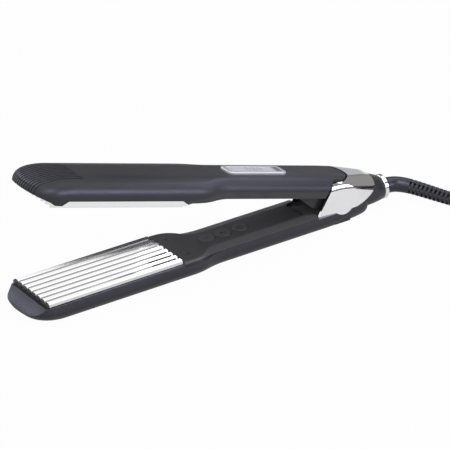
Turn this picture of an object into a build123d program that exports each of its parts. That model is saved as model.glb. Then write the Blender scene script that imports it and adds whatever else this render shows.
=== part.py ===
from build123d import *
import math
import os

os.makedirs("parts", exist_ok=True)

# A two-armed hair waver: a lower arm that carries the electrics and the cord, and an upper arm
# that swings down onto it about a hinge near the cord end.
# Sizes are in millimetres. Distances along an arm are taken from the hinge axis, the tip being
# negative; heights are taken from the plane in which the two heated plates meet.

# ---------------------------------------------------------------- driving dimensions
hinge_x = 91.5          # hinge axis, from the middle of the body
meet_height = 15.4      # the plates' meeting plane above the surface the waver lies on
hinge_drop = 1.3        # hinge axis below that plane
open_deg = 16.5         # opening of the upper arm at its stop

nose_tip = -224.5       # front of both arms
nose_front_radius = 40.0
nose_corner_radius = 14.0
waist_front = -113.0
waist_rear = -87.0
bay_half = 22.5         # half width over the plates
handle_half = 17.0      # half width of the handle
arm_depth = 15.4        # outer face of either arm, from the meeting plane
wall = 2.0
outer_round = 6.5       # rounding along the outer face of the arms
crown_flat = 8.0        # half width of the flat along the outer face, which falls away beside it
crown_radius = 33.0
nose_bend = -200.0      # in front of this the outer face bends down to a thin tip
nose_bend_radius = 48.0
arm_rear = 24.0         # rear end of the lower shell
arm_rear_half = 12.0
taper_from = -12.0      # the lower shell is drawn in behind this
rear_corner = 8.0

# plates: ridges run along the arm, the upper ones drop into the valleys of the lower ones
ridge_pitch = 5.5
lower_ridges = 8
crest_half = 1.3
ridge_foot_half = 2.1
ridge_depth = 2.2
mesh_gap = 0.35
plate_front = -212.0
plate_rear = -120.4
plate_half = 21.4
block_front = -205.5
block_rear = -122.5
block_half = 18.6
lower_rim = -2.9        # rim of the lower shell around its plate
upper_rim = 3.9
rim_gap = 0.3           # floating gap between a plate's flange and the rim
carrier_thick = 3.8
spring_height = 4.2     # springs between a carrier and the outer wall
upper_spring_height = 3.2
block_depth = arm_depth - wall - spring_height - carrier_thick      # back of the plate block
upper_block_depth = arm_depth - wall - upper_spring_height - carrier_thick
heater_thick = 2.2

# handle covers
cover_front = -119.4
cover_rear = -18.8
cover_seam = -5.0       # where the lower cover meets its shell
cover_top = -2.8
cover_hump = -1.1       # the cover rises to this behind the plate
cover_lip = 1.0         # bevel of the cover's edge beside the hump
cover_bevel = 14.2      # the same beside the handle, were it to rise as high
upper_cover_face = 3.3
upper_seam = 7.5
arch_front = -27.0      # opening in the lower cover that the knuckle dips into
arch_half = 11.8
arch_round = 6.0
well_wall = 1.1         # tray under that opening
well_rear = -7.5
well_floor = [(-40.0, -4.9), (-24.5, -4.9), (-18.5, -6.6), (-14.0, -7.1), (0.0, -7.2)]

# hinge
pin_radius = 2.0
pin_fit = 0.06
ear_inner = 11.4
ear_outer = 15.2
ear_radius = 5.5
knuckle_half = 11.0
knuckle_radius = 5.0
spring_slot_half = 7.4
hood_half = 16.4        # chrome hood over the hinge
hood_wall = 1.2
hood_gap = 1.0          # seam between the hood and the upper arm
tongue_start = -2.0     # the upper arm's tongue is rounded behind this
tongue_reach = 6.0
tongue_half = 13.2
tongue_under = arm_depth - 2.5
hood_edge = -5.3        # lower edge of the hood

# controls
button_radius = 5.1
button_gap = 0.25
button_travel = 0.6
button_face = -2.3
button_places = {"minus": -90.2, "mode": -78.9, "power": -66.3}
board_top = -8.8
board_thick = 1.4

# display
window_front, window_rear = -83.3, -39.8
bezel_half = 6.3
bezel_top = arm_depth + 1.5
bezel_depth = 2.7
lens_top = bezel_top - 0.2
lens_thick = 1.5
lcd_board_top = arm_depth - 3.2
lcd_board_thick = 1.4

# rear end and cord
collar_front, collar_rear = 38.4, 41.4
collar_radius = 8.0
outlet_drop = 6.05      # axis of the cord outlet below the meeting plane
relief_radius = 5.3
relief_tip_radius = 4.1
cord_diameter = 6.5


# ---------------------------------------------------------------- frames of the two arms
def arm_frame(tilt):
    """Origin, direction along and direction out of an arm tilted about the hinge."""
    c, s = math.cos(math.radians(tilt)), math.sin(math.radians(tilt))
    along, out = Vector(c, 0, -s), Vector(s, 0, c)
    axis = Vector(hinge_x, 0, meet_height - hinge_drop)
    return axis + out * hinge_drop, along, out


LOWER = arm_frame(0)
UPPER = arm_frame(open_deg)


def deck(arm, height):
    """Plane parallel to the plates."""
    origin, along, out = arm
    return Plane(origin=origin + out * height, x_dir=along, z_dir=out)


def side(arm, y=0.0):
    """Plane along the arm, facing the near side."""
    origin, along, out = arm
    return Plane(origin=origin + Vector(0, y, 0), x_dir=along, z_dir=(0, -1, 0))


def across(arm, x):
    """Plane square to the arm, facing its cord end."""
    origin, along, out = arm
    return Plane(origin=origin + along * x, x_dir=(0, 1, 0), z_dir=along)


# ---------------------------------------------------------------- shared profiles
def arm_plan(inset=0.0, rear=arm_rear, rear_half=arm_rear_half):
    """Plan of an arm: blunt round nose, wide bay, waist and handle, drawn in towards the rear."""
    wide, slim = bay_half - inset, handle_half - inset
    front_x = nose_tip + nose_front_radius
    corner_y = bay_half - nose_corner_radius
    reach = math.sqrt((nose_front_radius - nose_corner_radius) ** 2 - corner_y**2)
    corner_x = front_x - reach
    lean = math.degrees(math.atan2(corner_y, reach))
    with BuildSketch() as plan:
        with BuildLine() as half:
            CenterArc((front_x, 0), nose_front_radius - inset, 180, -lean)
            CenterArc((corner_x, corner_y), nose_corner_radius - inset, 180 - lean, lean - 90)
            Line((corner_x, wide), (waist_front, wide))
            run, drop = waist_rear - waist_front, bay_half - handle_half
            radius = (run**2 + drop**2) / (4 * drop)
            sweep = math.degrees(math.asin(run / 2 / radius))
            CenterArc((waist_front, bay_half - radius), radius - inset, 90, -sweep)
            CenterArc((waist_rear, handle_half + radius), radius + inset, 270 - sweep, sweep)
            if rear > taper_from:
                Line((waist_rear, slim), (taper_from, slim))
                run, drop = arm_rear - taper_from, handle_half - rear_half
                radius = (run**2 + drop**2) / (2 * drop)
                bend = CenterArc((taper_from, handle_half - radius), radius - inset, 90,
                                 -math.degrees(math.asin((rear - taper_from) / (radius - inset))))
                Line(bend @ 1, (rear, 0))
            else:
                Line((waist_rear, slim), (rear, slim))
                Line((rear, slim), (rear, 0))
            mirror(about=Plane.XZ)
        make_face()
        if rear > taper_from:
            corners = [v for v in plan.vertices().group_by(Axis.X)[-1] if abs(v.Y) > 1]
            fillet(corners, rear_corner - inset)
    return plan.sketch_local


def cover_plan(inset, front, rear, narrow=0.0):
    """Plan of a handle cover: its waist and handle, which may be narrower, between two square ends."""
    handle = handle_half - narrow
    wide, slim = bay_half - inset, handle - inset
    with BuildSketch() as plan:
        with BuildLine():
            Line((front, 0), (front, wide))
            Line((front, wide), (waist_front, wide))
            run, drop = waist_rear - waist_front, bay_half - handle
            radius = (run**2 + drop**2) / (4 * drop)
            sweep = math.degrees(math.asin(run / 2 / radius))
            CenterArc((waist_front, bay_half - radius), radius - inset, 90, -sweep)
            CenterArc((waist_rear, handle + radius), radius + inset, 270 - sweep, sweep)
            Line((waist_rear, slim), (rear, slim))
            Line((rear, slim), (rear, 0))
            mirror(about=Plane.XZ)
        make_face()
    return plan.sketch_local


def outline(points):
    """Closed straight-sided profile."""
    with BuildSketch() as shape:
        with BuildLine():
            Polyline(points, close=True)
        make_face()
    return shape.sketch_local


def plate_section(count, crest_width, foot_width, crest, valley, edge):
    """Section across a ribbed plate; edge runs from its flange to its first ridge."""
    ridges = []
    for i in range(count):
        y = (i - (count - 1) / 2) * ridge_pitch
        ridges += [(y - foot_width, valley), (y - crest_width, crest),
                   (y + crest_width, crest), (y + foot_width, valley)]
    if abs(edge[-1][1] - crest) < 1.0:      # the outer ridges run into the flange
        ridges = ridges[1:-1]
    return outline(edge + ridges + [(-y, z) for y, z in reversed(edge)])


def arch_plan(front, rear, half, rounding):
    """Slot that is open to the rear, with rounded front corners."""
    with BuildSketch() as shape:
        with Locations(((front + rear) / 2, 0)):
            Rectangle(rear - front, 2 * half)
        fillet(shape.vertices().group_by(Axis.X)[0], rounding)
    return shape.sketch_local


def out_of(arm, shape):
    """Faces of a shape sorted along the arm's outward direction."""
    origin, _, out = arm
    return shape.faces().sort_by(Axis(origin, out))


body_reach = 6.0        # the arm forms are made this far past the meeting plane before they are cut


def crown_section(side_of, inset):
    """Section of an arm: flat in the middle of its outer face and falling away to the sides."""
    top, reach, radius = arm_depth - inset, bay_half + 3.0, crown_radius - inset
    fall = math.degrees(math.asin((reach - crown_flat) / radius))
    with BuildSketch() as section:
        with BuildLine():
            Line((0, top), (crown_flat, top))
            crown = CenterArc((crown_flat, top - radius), radius, 90, -fall)
            Polyline(crown @ 1, (reach, -body_reach), (0, -body_reach))
            mirror(about=Plane.YZ)
        make_face()
        if side_of < 0:
            mirror(about=Plane.XZ, mode=Mode.REPLACE)
    return section.sketch_local


def arm_form(arm, side_of, inset=0.0, rear=arm_rear):
    """Outer form of an arm, or what lies inside it by the inset: crowned, bent down at the nose."""
    origin, along, out = arm
    pivot = origin + along * nose_bend + out * side_of * (arm_depth - nose_bend_radius)
    with BuildPart() as form:
        with BuildSketch(across(arm, nose_bend)) as section:
            add(crown_section(side_of, inset))
        extrude(amount=arm_rear + 10 - nose_bend)
        revolve(section.sketch, axis=Axis(pivot, (0, -side_of, 0)), revolution_arc=42)
        with BuildSketch(deck(arm, -side_of * body_reach)):
            add(arm_plan(inset, rear))
        extrude(amount=side_of * (arm_depth + 2 * body_reach), mode=Mode.INTERSECT)
        walls = [face for face in form.faces() if abs(face.normal_at().dot(out)) < 0.01]
        lowest = [(edge, min(side_of * (end - origin).dot(out) for end in (edge @ 0, edge @ 1)))
                  for face in walls for edge in face.edges()]
        fillet([edge for edge, height in lowest if height > 1 - body_reach], outer_round - inset)
    return form.part


# ================================================================ LOWER ARM
# Chrome hood over the hinge, made first because the shell is seated against it.
hood_stations = [
    (-22, hood_half, 16.0, 6.0),
    (-4, hood_half, 15.8, 6.5),
    (8, 16.0, 14.0, 7.5),
    (15, 15.0, 11.9, 8.3),
    (21, 13.9, 10.0, 8.8),
    (29, 12.2, 6.9, 9.0),
]


def hood_section(half, top, rounding, inset):
    with BuildSketch() as shape:
        with Locations((0, (top - inset - 9) / 2)):
            Rectangle(2 * (half - inset), top - inset + 9)
        fillet(shape.vertices().group_by(Axis.Y)[-1], rounding - inset)
    return shape.sketch_local


with BuildPart() as hood_inside:
    for x, half, top, rounding in hood_stations:
        with BuildSketch(across(LOWER, x)):
            add(hood_section(half, top, rounding, hood_wall))
    loft()

# Rear edge of the upper arm, shared by both sides of the seam.
seam_foot, seam_head = (-15.8, 1.5), (-10.5, 15.4)


def seam_at(z, shift=0.0):
    """Point on the upper arm's slanted rear edge at a height, moved along the arm."""
    t = (z - seam_foot[1]) / (seam_head[1] - seam_foot[1])
    return (seam_foot[0] + t * (seam_head[0] - seam_foot[0]) + shift, z)


def hood_side():
    """Side outline of the hood: slanted front edge, lobe round the pin, rounded lower rear corner."""
    lobe_front, lobe_rear, hem_rear = (-5.0, hood_edge), (6.5, hood_edge), (11.0, hood_edge - 0.2)
    with BuildSketch() as shape:
        with BuildLine():
            Polyline(lobe_front, (-18.7, hood_edge), (-13.0, 3.0), (-2.0, 20.0), (40, 20), (40, 8), (28.2, 8))
            Bezier((28.2, 8), (28.8, 2.6), (24.8, -3.4), hem_rear)
            Line(hem_rear, lobe_rear)
            ThreePointArc(lobe_rear, (0.4, hood_edge - 2.3), lobe_front)
        make_face()
    return shape.sketch_local


def tongue_plan(margin=0.0):
    """Plan of the upper arm's tongue, open to the front."""
    half, front = tongue_half + margin, seam_head[0] - 12
    with BuildSketch() as shape:
        with BuildLine():
            Polyline((tongue_start, -half), (front, -half), (front, half), (tongue_start, half))
            ThreePointArc((tongue_start, half), (tongue_reach + margin, 0), (tongue_start, -half))
        make_face()
    return shape.sketch_local


with BuildPart() as hinge_hood:
    for x, half, top, rounding in hood_stations:
        with BuildSketch(across(LOWER, x)):
            add(hood_section(half, top, rounding, 0.0))
    loft()
    add(hood_inside.part, mode=Mode.SUBTRACT)
    with BuildSketch(side(LOWER)):
        add(hood_side())
    extrude(amount=30, both=True, mode=Mode.INTERSECT)
    # the upper arm's rear edge and tongue, at the open stop, with the seam gap
    with BuildSketch(side(UPPER)):
        add(outline([seam_at(-14, hood_gap), seam_at(20, hood_gap), (-60, 20), (-60, -14)]))
    extrude(amount=30, both=True, mode=Mode.SUBTRACT)
    with BuildSketch(deck(UPPER, 8.0)):
        add(tongue_plan(hood_gap))
    extrude(amount=20, mode=Mode.SUBTRACT)
hinge_hood.part.label = "hinge_hood"
export_step(hinge_hood.part, "parts/hinge_hood.step")

# Black rear end, from the oval of the body to the round cord outlet.
outlet_z = -outlet_drop
clamp_radius = 6.0
outlet_half = collar_radius - 0.3
end_stations = [
    (19.0, 10.8, 2.8 - arm_depth, 6.8, 6.0),
    (28.5, 10.6, 2.2 - arm_depth, 5.3, 7.5),
    (collar_front, outlet_half, outlet_z - outlet_half, outlet_z + outlet_half, outlet_half - 0.1),
]
with BuildPart() as end_piece:
    for x, half, low, high, rounding in end_stations:
        with BuildSketch(across(LOWER, x)):
            with Locations((0, (low + high) / 2)):
                RectangleRounded(2 * half, high - low, rounding)
    loft()
    with BuildSketch(across(LOWER, 18.0)):
        with Locations((0, outlet_z)):
            Circle(clamp_radius)
    extrude(amount=17.5, mode=Mode.SUBTRACT)
    with BuildSketch(across(LOWER, 30.0)):
        with Locations((0, outlet_z)):
            Circle(relief_radius)
    extrude(amount=12, mode=Mode.SUBTRACT)
end_piece.part.label = "end_piece"
export_step(end_piece.part, "parts/end_piece.step")

screw_places = [(-107.0, 13.0), (-107.0, -13.0), (-40.5, 10.8), (-40.5, -10.8)]
board_posts = [(-97, 9), (-97, -9), (-49, 9), (-49, -9)]
bumper_places = [(-113.9, 12.6), (-111.4, 12.6), (-113.9, -12.6), (-111.4, -12.6)]
boss_foot = wall - arm_depth - 0.2      # bosses are rooted a little inside the floor
boss_top = -6.5
screw_seat = 2.4 - arm_depth            # underside of the screw heads' counterbores
strip_thick = 1.4                       # end strip in front of the lower plate
strip_front = plate_front - strip_thick
nose_foot = -8.5
cut_start = arm_depth + 1               # cuts from below start outside the shell

with BuildPart() as lower_shell:
    add(arm_form(LOWER, -1))
    add(arm_form(LOWER, -1, wall, arm_rear - wall), mode=Mode.SUBTRACT)
    # hollow-faced nose in front of the plate
    with BuildSketch(deck(LOWER, nose_foot)):
        add(arm_plan(wall / 2))
        with Locations((strip_front - 20, 0)):
            Rectangle(40, 60, mode=Mode.INTERSECT)
    extrude(amount=lower_rim - nose_foot)
    # rim all round, dropping behind the plate and again under the hood
    with BuildSketch(side(LOWER)):
        with BuildLine():
            Polyline((strip_front - 1.2, lower_rim), (cover_front - 0.1, lower_rim),
                     (cover_front - 0.1, cover_seam), (cover_rear, cover_seam), (cover_rear, hood_edge),
                     (40, hood_edge), (40, 12),
                     (nose_tip - 5, 12), (nose_tip - 5, -7.5), (nose_tip, -7.5))
            ThreePointArc((nose_tip, -7.5), (nose_tip + 6.5, -5.9), (strip_front - 1.2, lower_rim))
        make_face()
    extrude(amount=30, both=True, mode=Mode.SUBTRACT)
    # bosses for the cover screws and posts for the board
    with BuildSketch(deck(LOWER, boss_foot)):
        with Locations(*screw_places):
            Circle(3.2)
    extrude(amount=boss_top - boss_foot)
    with BuildSketch(deck(LOWER, boss_foot)):
        with Locations(*board_posts):
            Circle(2.0)
    extrude(amount=board_top - board_thick - boss_foot)
    with BuildSketch(deck(LOWER, -cut_start)):
        with Locations(*screw_places):
            Circle(1.3)
    extrude(amount=cut_start + boss_top + 1, mode=Mode.SUBTRACT)
    with BuildSketch(deck(LOWER, -cut_start)):
        with Locations(*screw_places):
            Circle(2.7)
    extrude(amount=cut_start + screw_seat, mode=Mode.SUBTRACT)
    # ears that hold the hinge pin
    for y in (-ear_inner, ear_outer):
        with BuildSketch(side(LOWER, y)):
            with Locations((0, -hinge_drop)):
                Circle(ear_radius)
            with Locations((0, (-hinge_drop + boss_foot) / 2)):
                Rectangle(2 * ear_radius, -boss_foot - hinge_drop)
        extrude(amount=ear_outer - ear_inner)
    with BuildSketch(side(LOWER, 20)):
        with Locations((0, -hinge_drop)):
            Circle(pin_radius)
    extrude(amount=40, mode=Mode.SUBTRACT)
    # seats of the hood, with the skin over its lobe cut away, and of the rear end
    add(hinge_hood.part, mode=Mode.SUBTRACT)
    for y in (-hood_half + 0.5, hood_half + 10):
        with BuildSketch(side(LOWER, y)):
            add(hood_side())
        extrude(amount=9.5, mode=Mode.SUBTRACT)
    add(end_piece.part, mode=Mode.SUBTRACT)
    with BuildSketch(across(LOWER, 18.0)):
        with Locations((0, outlet_z)):
            Circle(clamp_radius)
    extrude(amount=12, mode=Mode.SUBTRACT)
lower_shell.part.label = "lower_shell"
export_step(lower_shell.part, "parts/lower_shell.step")

# Tray that closes the opening for the knuckle from below.
with BuildPart() as well_hollow:
    with BuildSketch(deck(LOWER, -20)):
        add(arch_plan(arch_front, 10, arch_half, arch_round))
    extrude(amount=30)
    with BuildSketch(side(LOWER)):
        add(outline(well_floor + [(20, -7.2), (20, 10), (-40, 10)]))
    extrude(amount=30, both=True, mode=Mode.INTERSECT)

with BuildPart() as knuckle_well:
    with BuildSketch(deck(LOWER, -20)):
        add(arch_plan(arch_front - well_wall, well_rear, arch_half + well_wall, arch_round + well_wall))
    extrude(amount=20 + cover_seam + 0.2)
    with BuildSketch(side(LOWER)):
        add(outline([(x, z - well_wall) for x, z in well_floor] + [(0, 10), (-40, 10)]))
    extrude(amount=30, both=True, mode=Mode.INTERSECT)
    add(well_hollow.part, mode=Mode.SUBTRACT)

# Inner cover of the lower handle: sides bevelled more and more from the plate to the handle, a low
# hump behind the plate, holes for the buttons and the opening for the upper arm's knuckle.
cover_edge = cover_seam + 0.5
with BuildPart() as lower_cover:
    with BuildSketch(deck(LOWER, cover_seam)):
        add(cover_plan(0, cover_front, cover_rear))
    extrude(amount=cover_edge - cover_seam)
    with BuildSketch(deck(LOWER, cover_edge)):
        add(cover_plan(0, cover_front, cover_rear))
    with BuildSketch(deck(LOWER, cover_hump)):
        add(cover_plan(cover_lip, cover_front, cover_rear, cover_bevel - cover_lip))
    loft()
    with BuildSketch(side(LOWER)):
        add(outline([(-116.5, cover_hump), (-95, cover_top), (0, cover_top), (0, 5), (-116.5, 5)]))
    extrude(amount=30, both=True, mode=Mode.SUBTRACT)
    # lip inside the shell
    with BuildSketch(deck(LOWER, cover_seam)):
        add(cover_plan(wall + 0.1, cover_front + 2.0, cover_rear))
        add(cover_plan(wall + 1.4, cover_front + 3.4, cover_rear), mode=Mode.SUBTRACT)
    extrude(amount=-1.6)
    with BuildSketch(deck(LOWER, cover_seam)):
        with Locations(*screw_places):
            Circle(2.6)
    extrude(amount=boss_top - cover_seam)
    with BuildSketch(deck(LOWER, -8.0)):
        add(arch_plan(arch_front, 10, arch_half, arch_round))
    extrude(amount=10, mode=Mode.SUBTRACT)
    add(knuckle_well.part)
    with BuildSketch(deck(LOWER, -8.0)):
        with Locations(*[(x, 0) for x in button_places.values()]):
            Circle(button_radius + button_gap)
    extrude(amount=10, mode=Mode.SUBTRACT)
    # blind holes for the screws
    with BuildSketch(deck(LOWER, -8.0)):
        with Locations(*screw_places):
            Circle(1.1)
    extrude(amount=3.8, mode=Mode.SUBTRACT)
    # pockets for the rubber bumpers
    with BuildSketch(deck(LOWER, -3.0)):
        with Locations(*bumper_places):
            Circle(1.0)
    extrude(amount=4, mode=Mode.SUBTRACT)
lower_cover.part.label = "lower_cover"
export_step(lower_cover.part, "parts/lower_cover.step")

with BuildPart() as bumpers:
    for x, y in bumper_places:
        with BuildSketch(deck(LOWER, -3.0)):
            with Locations((x, y)):
                Circle(1.0)
        extrude(amount=2.0)
    fillet(bumpers.faces().group_by(Axis.Z)[-1].edges(), 0.4)
bumpers.part.label = "bumpers"
export_step(bumpers.part, "parts/bumpers.step")

# Four screws drive up from below into the cover's posts.
head_thick = 1.4
screw_end = -4.6
with BuildPart() as lower_screws:
    for x, y in screw_places:
        with BuildSketch(deck(LOWER, screw_seat - head_thick)):
            with Locations((x, y)):
                Circle(2.3)
        extrude(amount=head_thick)
        with BuildSketch(deck(LOWER, screw_seat)):
            with Locations((x, y)):
                Circle(1.1)
        extrude(amount=screw_end - screw_seat)
lower_screws.part.label = "lower_screws"
export_step(lower_screws.part, "parts/lower_screws.step")

# Lower plate: eight ridges along the arm on a flanged slab, with a block behind it.
lower_flange = lower_rim + rim_gap
lower_edge = [(-plate_half, lower_flange), (-plate_half, -0.9), (-20.88, -0.9)]
with BuildPart() as lower_plate:
    with BuildSketch(across(LOWER, plate_front)):
        add(plate_section(lower_ridges, crest_half, ridge_foot_half, 0.0, -ridge_depth, lower_edge))
    extrude(amount=plate_rear - plate_front)
    with BuildSketch(deck(LOWER, -block_depth)):
        with Locations(((block_front + block_rear) / 2, 0)):
            Rectangle(block_rear - block_front, 2 * block_half)
    extrude(amount=block_depth + lower_flange)
lower_plate.part.label = "lower_plate"
export_step(lower_plate.part, "parts/lower_plate.step")

# Dark end strip that closes the front of the plate and follows its ridges.
with BuildPart() as end_strip:
    with BuildSketch(across(LOWER, strip_front)):
        add(plate_section(lower_ridges, crest_half, ridge_foot_half, 0.0, -ridge_depth, lower_edge))
    extrude(amount=strip_thick)
end_strip.part.label = "end_strip"
export_step(end_strip.part, "parts/end_strip.step")


def plate_back(arm, side_of, back):
    """Carrier, heater, sensor and springs behind a plate whose back is at that height."""
    with BuildPart() as carrier:
        with BuildSketch(deck(arm, side_of * back)):
            with Locations(((block_front + block_rear) / 2, 0)):
                Rectangle(block_rear - block_front, 2 * (block_half - 0.6))
        extrude(amount=side_of * carrier_thick)
        with BuildSketch(deck(arm, side_of * back)):
            with Locations((heater_middle, 0)):
                Rectangle(heater_length, 2 * heater_half)
            with Locations((sensor_x, 0)):
                Rectangle(7, 4)
        extrude(amount=side_of * heater_thick, mode=Mode.SUBTRACT)
    with BuildPart() as heater:
        with BuildSketch(deck(arm, side_of * back)):
            with Locations((heater_middle, 0)):
                Rectangle(heater_length, 2 * heater_half)
        extrude(amount=side_of * heater_thick)
    with BuildPart() as sensor:
        with BuildSketch(across(arm, sensor_x - 2.5)):
            with Locations((0, side_of * (back + heater_thick / 2))):
                Circle(heater_thick / 2)
        extrude(amount=5)
    with BuildPart() as springs:
        with BuildSketch(deck(arm, side_of * (back + carrier_thick))):
            with Locations(*spring_places):
                Circle(3.2)
                Circle(2.2, mode=Mode.SUBTRACT)
        extrude(amount=side_of * (arm_depth - wall - back - carrier_thick))
    return carrier.part, heater.part, sensor.part, springs.part


heater_middle, heater_length, heater_half = -166.0, 66.0, 8.0
sensor_x = heater_middle + heater_length / 2 + 5.0
spring_places = [(-190, 4.7), (-190, -4.7), (-140, 4.7), (-140, -4.7)]
kinds = ("carrier", "heater", "thermistor", "plate_springs")
backs = (("lower", LOWER, -1, block_depth), ("upper", UPPER, 1, upper_block_depth))
for arm_name, arm, side_of, back in backs:
    for kind, piece in zip(kinds, plate_back(arm, side_of, back)):
        piece.label = f"{arm_name}_{kind}"
        export_step(piece, f"parts/{arm_name}_{kind}.step")

# Thermal fuse strapped under the lower carrier.
with BuildPart() as thermal_fuse:
    with BuildSketch(across(LOWER, -158)):
        with Locations((0, -block_depth - carrier_thick - 1.9)):
            Circle(1.9)
    extrude(amount=10)
thermal_fuse.part.label = "thermal_fuse"
export_step(thermal_fuse.part, "parts/thermal_fuse.step")

# Board with its three switches, and the buttons over them.
board_middle, board_length, board_width = -73.0, 54.0, 25.0
board_rear = board_middle + board_length / 2
with BuildPart() as control_board:
    with BuildSketch(deck(LOWER, board_top - board_thick)):
        with Locations((board_middle, 0)):
            Rectangle(board_length, board_width)
    extrude(amount=board_thick)
control_board.part.label = "control_board"
export_step(control_board.part, "parts/control_board.step")

switch_height = 1.5
with BuildPart() as switches:
    for x in button_places.values():
        with BuildSketch(deck(LOWER, board_top)):
            with Locations((x, 0)):
                Rectangle(6, 6)
        extrude(amount=switch_height - 0.4)
        with BuildSketch(deck(LOWER, board_top)):
            with Locations((x, 0)):
                Circle(1.6)
        extrude(amount=switch_height)
switches.part.label = "switches"
export_step(switches.part, "parts/switches.step")

switch_top = board_top + switch_height
flange_thick, flange_width = 0.9, 5.0
for name, x in button_places.items():
    with BuildPart() as button:
        with BuildSketch(deck(LOWER, cover_seam - button_gap - flange_thick)):
            with Locations((x, 0)):
                Rectangle(flange_width, 2 * (button_radius + 1.0))
        extrude(amount=flange_thick)
        with BuildSketch(deck(LOWER, switch_top + button_travel + button_gap)):
            with Locations((x, 0)):
                Circle(1.6)
        extrude(amount=cover_seam - button_gap - switch_top - button_travel - button_gap)
        with BuildSketch(deck(LOWER, cover_seam - button_gap)):
            with Locations((x, 0)):
                Circle(button_radius)
        extrude(amount=button_face - cover_seam + button_gap)
        fillet(button.faces().sort_by(Axis.Z)[-1].edges(), 0.45)
    button.part.label = f"{name}_button"
    export_step(button.part, f"parts/{name}_button.step")

# ================================================================ HINGE AND REAR END
with BuildPart() as hinge_pin:
    with BuildSketch(side(LOWER, ear_outer - 0.4)):
        with Locations((0, -hinge_drop)):
            Circle(pin_radius)
    extrude(amount=2 * (ear_outer - 0.4))
    chamfer(hinge_pin.edges().filter_by(GeomType.CIRCLE), 0.3)
hinge_pin.part.label = "hinge_pin"
export_step(hinge_pin.part, "parts/hinge_pin.step")

# Torsion spring round the pin; one leg bears on the lower shell.
spring_half = spring_slot_half - 0.4
with BuildPart() as torsion_spring:
    with BuildSketch(side(LOWER, spring_half)):
        with Locations((0, -hinge_drop)):
            Circle(4.5)
            Circle(2.5, mode=Mode.SUBTRACT)
    extrude(amount=2 * spring_half)
    leg_way = Vector(-0.5, 0, -math.sqrt(0.75))
    leg_start = -hinge_drop - 3.4
    with BuildSketch(Plane(origin=LOWER[0] + Vector(-2.0, spring_half - 0.9, leg_start),
                           x_dir=(0, 1, 0), z_dir=leg_way)):
        Circle(0.8)
    extrude(amount=(wall + 0.7 - arm_depth - leg_start) / leg_way.Z)
torsion_spring.part.label = "torsion_spring"
export_step(torsion_spring.part, "parts/torsion_spring.step")

with BuildPart() as collar:
    with BuildSketch(across(LOWER, collar_front)):
        with Locations((0, outlet_z)):
            Circle(collar_radius)
            Circle(relief_radius, mode=Mode.SUBTRACT)
    extrude(amount=collar_rear - collar_front)
    outer_rims = collar.edges().filter_by(GeomType.CIRCLE).sort_by(lambda e: e.radius)[-2:]
    fillet(outer_rims, 0.7)
collar.part.label = "collar"
export_step(collar.part, "parts/collar.step")

# ================================================================ UPPER ARM
with BuildPart() as upper_knuckle:
    with BuildSketch(side(UPPER)):
        with BuildLine():
            Polyline((0, -hinge_drop - knuckle_radius), (-11, -hinge_drop - knuckle_radius))
            Spline([(-11, -hinge_drop - knuckle_radius), (-17, -5.7), (-23.5, -2.8), (-30, 0.9), (-37, 3.3)],
                   tangents=[(-1, 0), (-1, 0.25)])
            Polyline((-37, 3.3), (-37, 6.6), (-18, 6.6), (-5, 3.2), (0, 3.2),
                     (0, -hinge_drop - knuckle_radius))
        make_face()
        with Locations((0, -hinge_drop)):
            Circle(knuckle_radius)
    extrude(amount=knuckle_half, both=True)
    # seat inside the handle
    with BuildSketch(deck(UPPER, upper_cover_face + wall)):
        with Locations((-27.5, 0)):
            Rectangle(19, 28)
    extrude(amount=1.3)
    with BuildSketch(side(UPPER)):
        with Locations((-1, -hinge_drop)):
            Rectangle(15, 16)
    extrude(amount=spring_slot_half, both=True, mode=Mode.SUBTRACT)
    with BuildSketch(side(UPPER)):
        with Locations((0, -hinge_drop)):
            Circle(pin_radius + pin_fit)
    extrude(amount=20, both=True, mode=Mode.SUBTRACT)
upper_knuckle.part.label = "upper_knuckle"
export_step(upper_knuckle.part, "parts/upper_knuckle.step")

upper_inner_rear = -18.0

# Upper shell: the mirror of the lower one, with a nub at each front corner of the plate, a window
# for the display and a rounded tongue over the hood.
rest_depth = 1.2        # the nubs and the rear of the bay come down to about this height
nub_front, nub_rear = -212.2, -207.6
bay_corner = -124.2     # the rim slants down behind this
upper_screw_places = [(-107.0, 12.5), (-107.0, -12.5), (-46.0, 11.0), (-46.0, -11.0)]
bezel_middle, bezel_length = (window_front + window_rear) / 2, window_rear - window_front
bezel_round, lens_round = 3.0, 1.5
lens_length, lens_width = bezel_length - 5.5, 2 * bezel_half - 4.2
grip_pitch, grip_width, grip_depth = 2.4, 0.9, 0.4
grip_count, grip_rear = 12, -196.0

# Grooves along the nose, as deep all over as its curved face allows.
with BuildPart() as grip:
    with BuildSketch(deck(UPPER, 0)):
        with Locations(((nose_tip + grip_rear) / 2, 0)):
            with GridLocations(0, grip_pitch, 1, grip_count):
                SlotOverall(grip_rear - nose_tip + 10, grip_width)
    extrude(amount=20)
    add(arm_form(UPPER, 1, grip_depth), mode=Mode.SUBTRACT)

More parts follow.
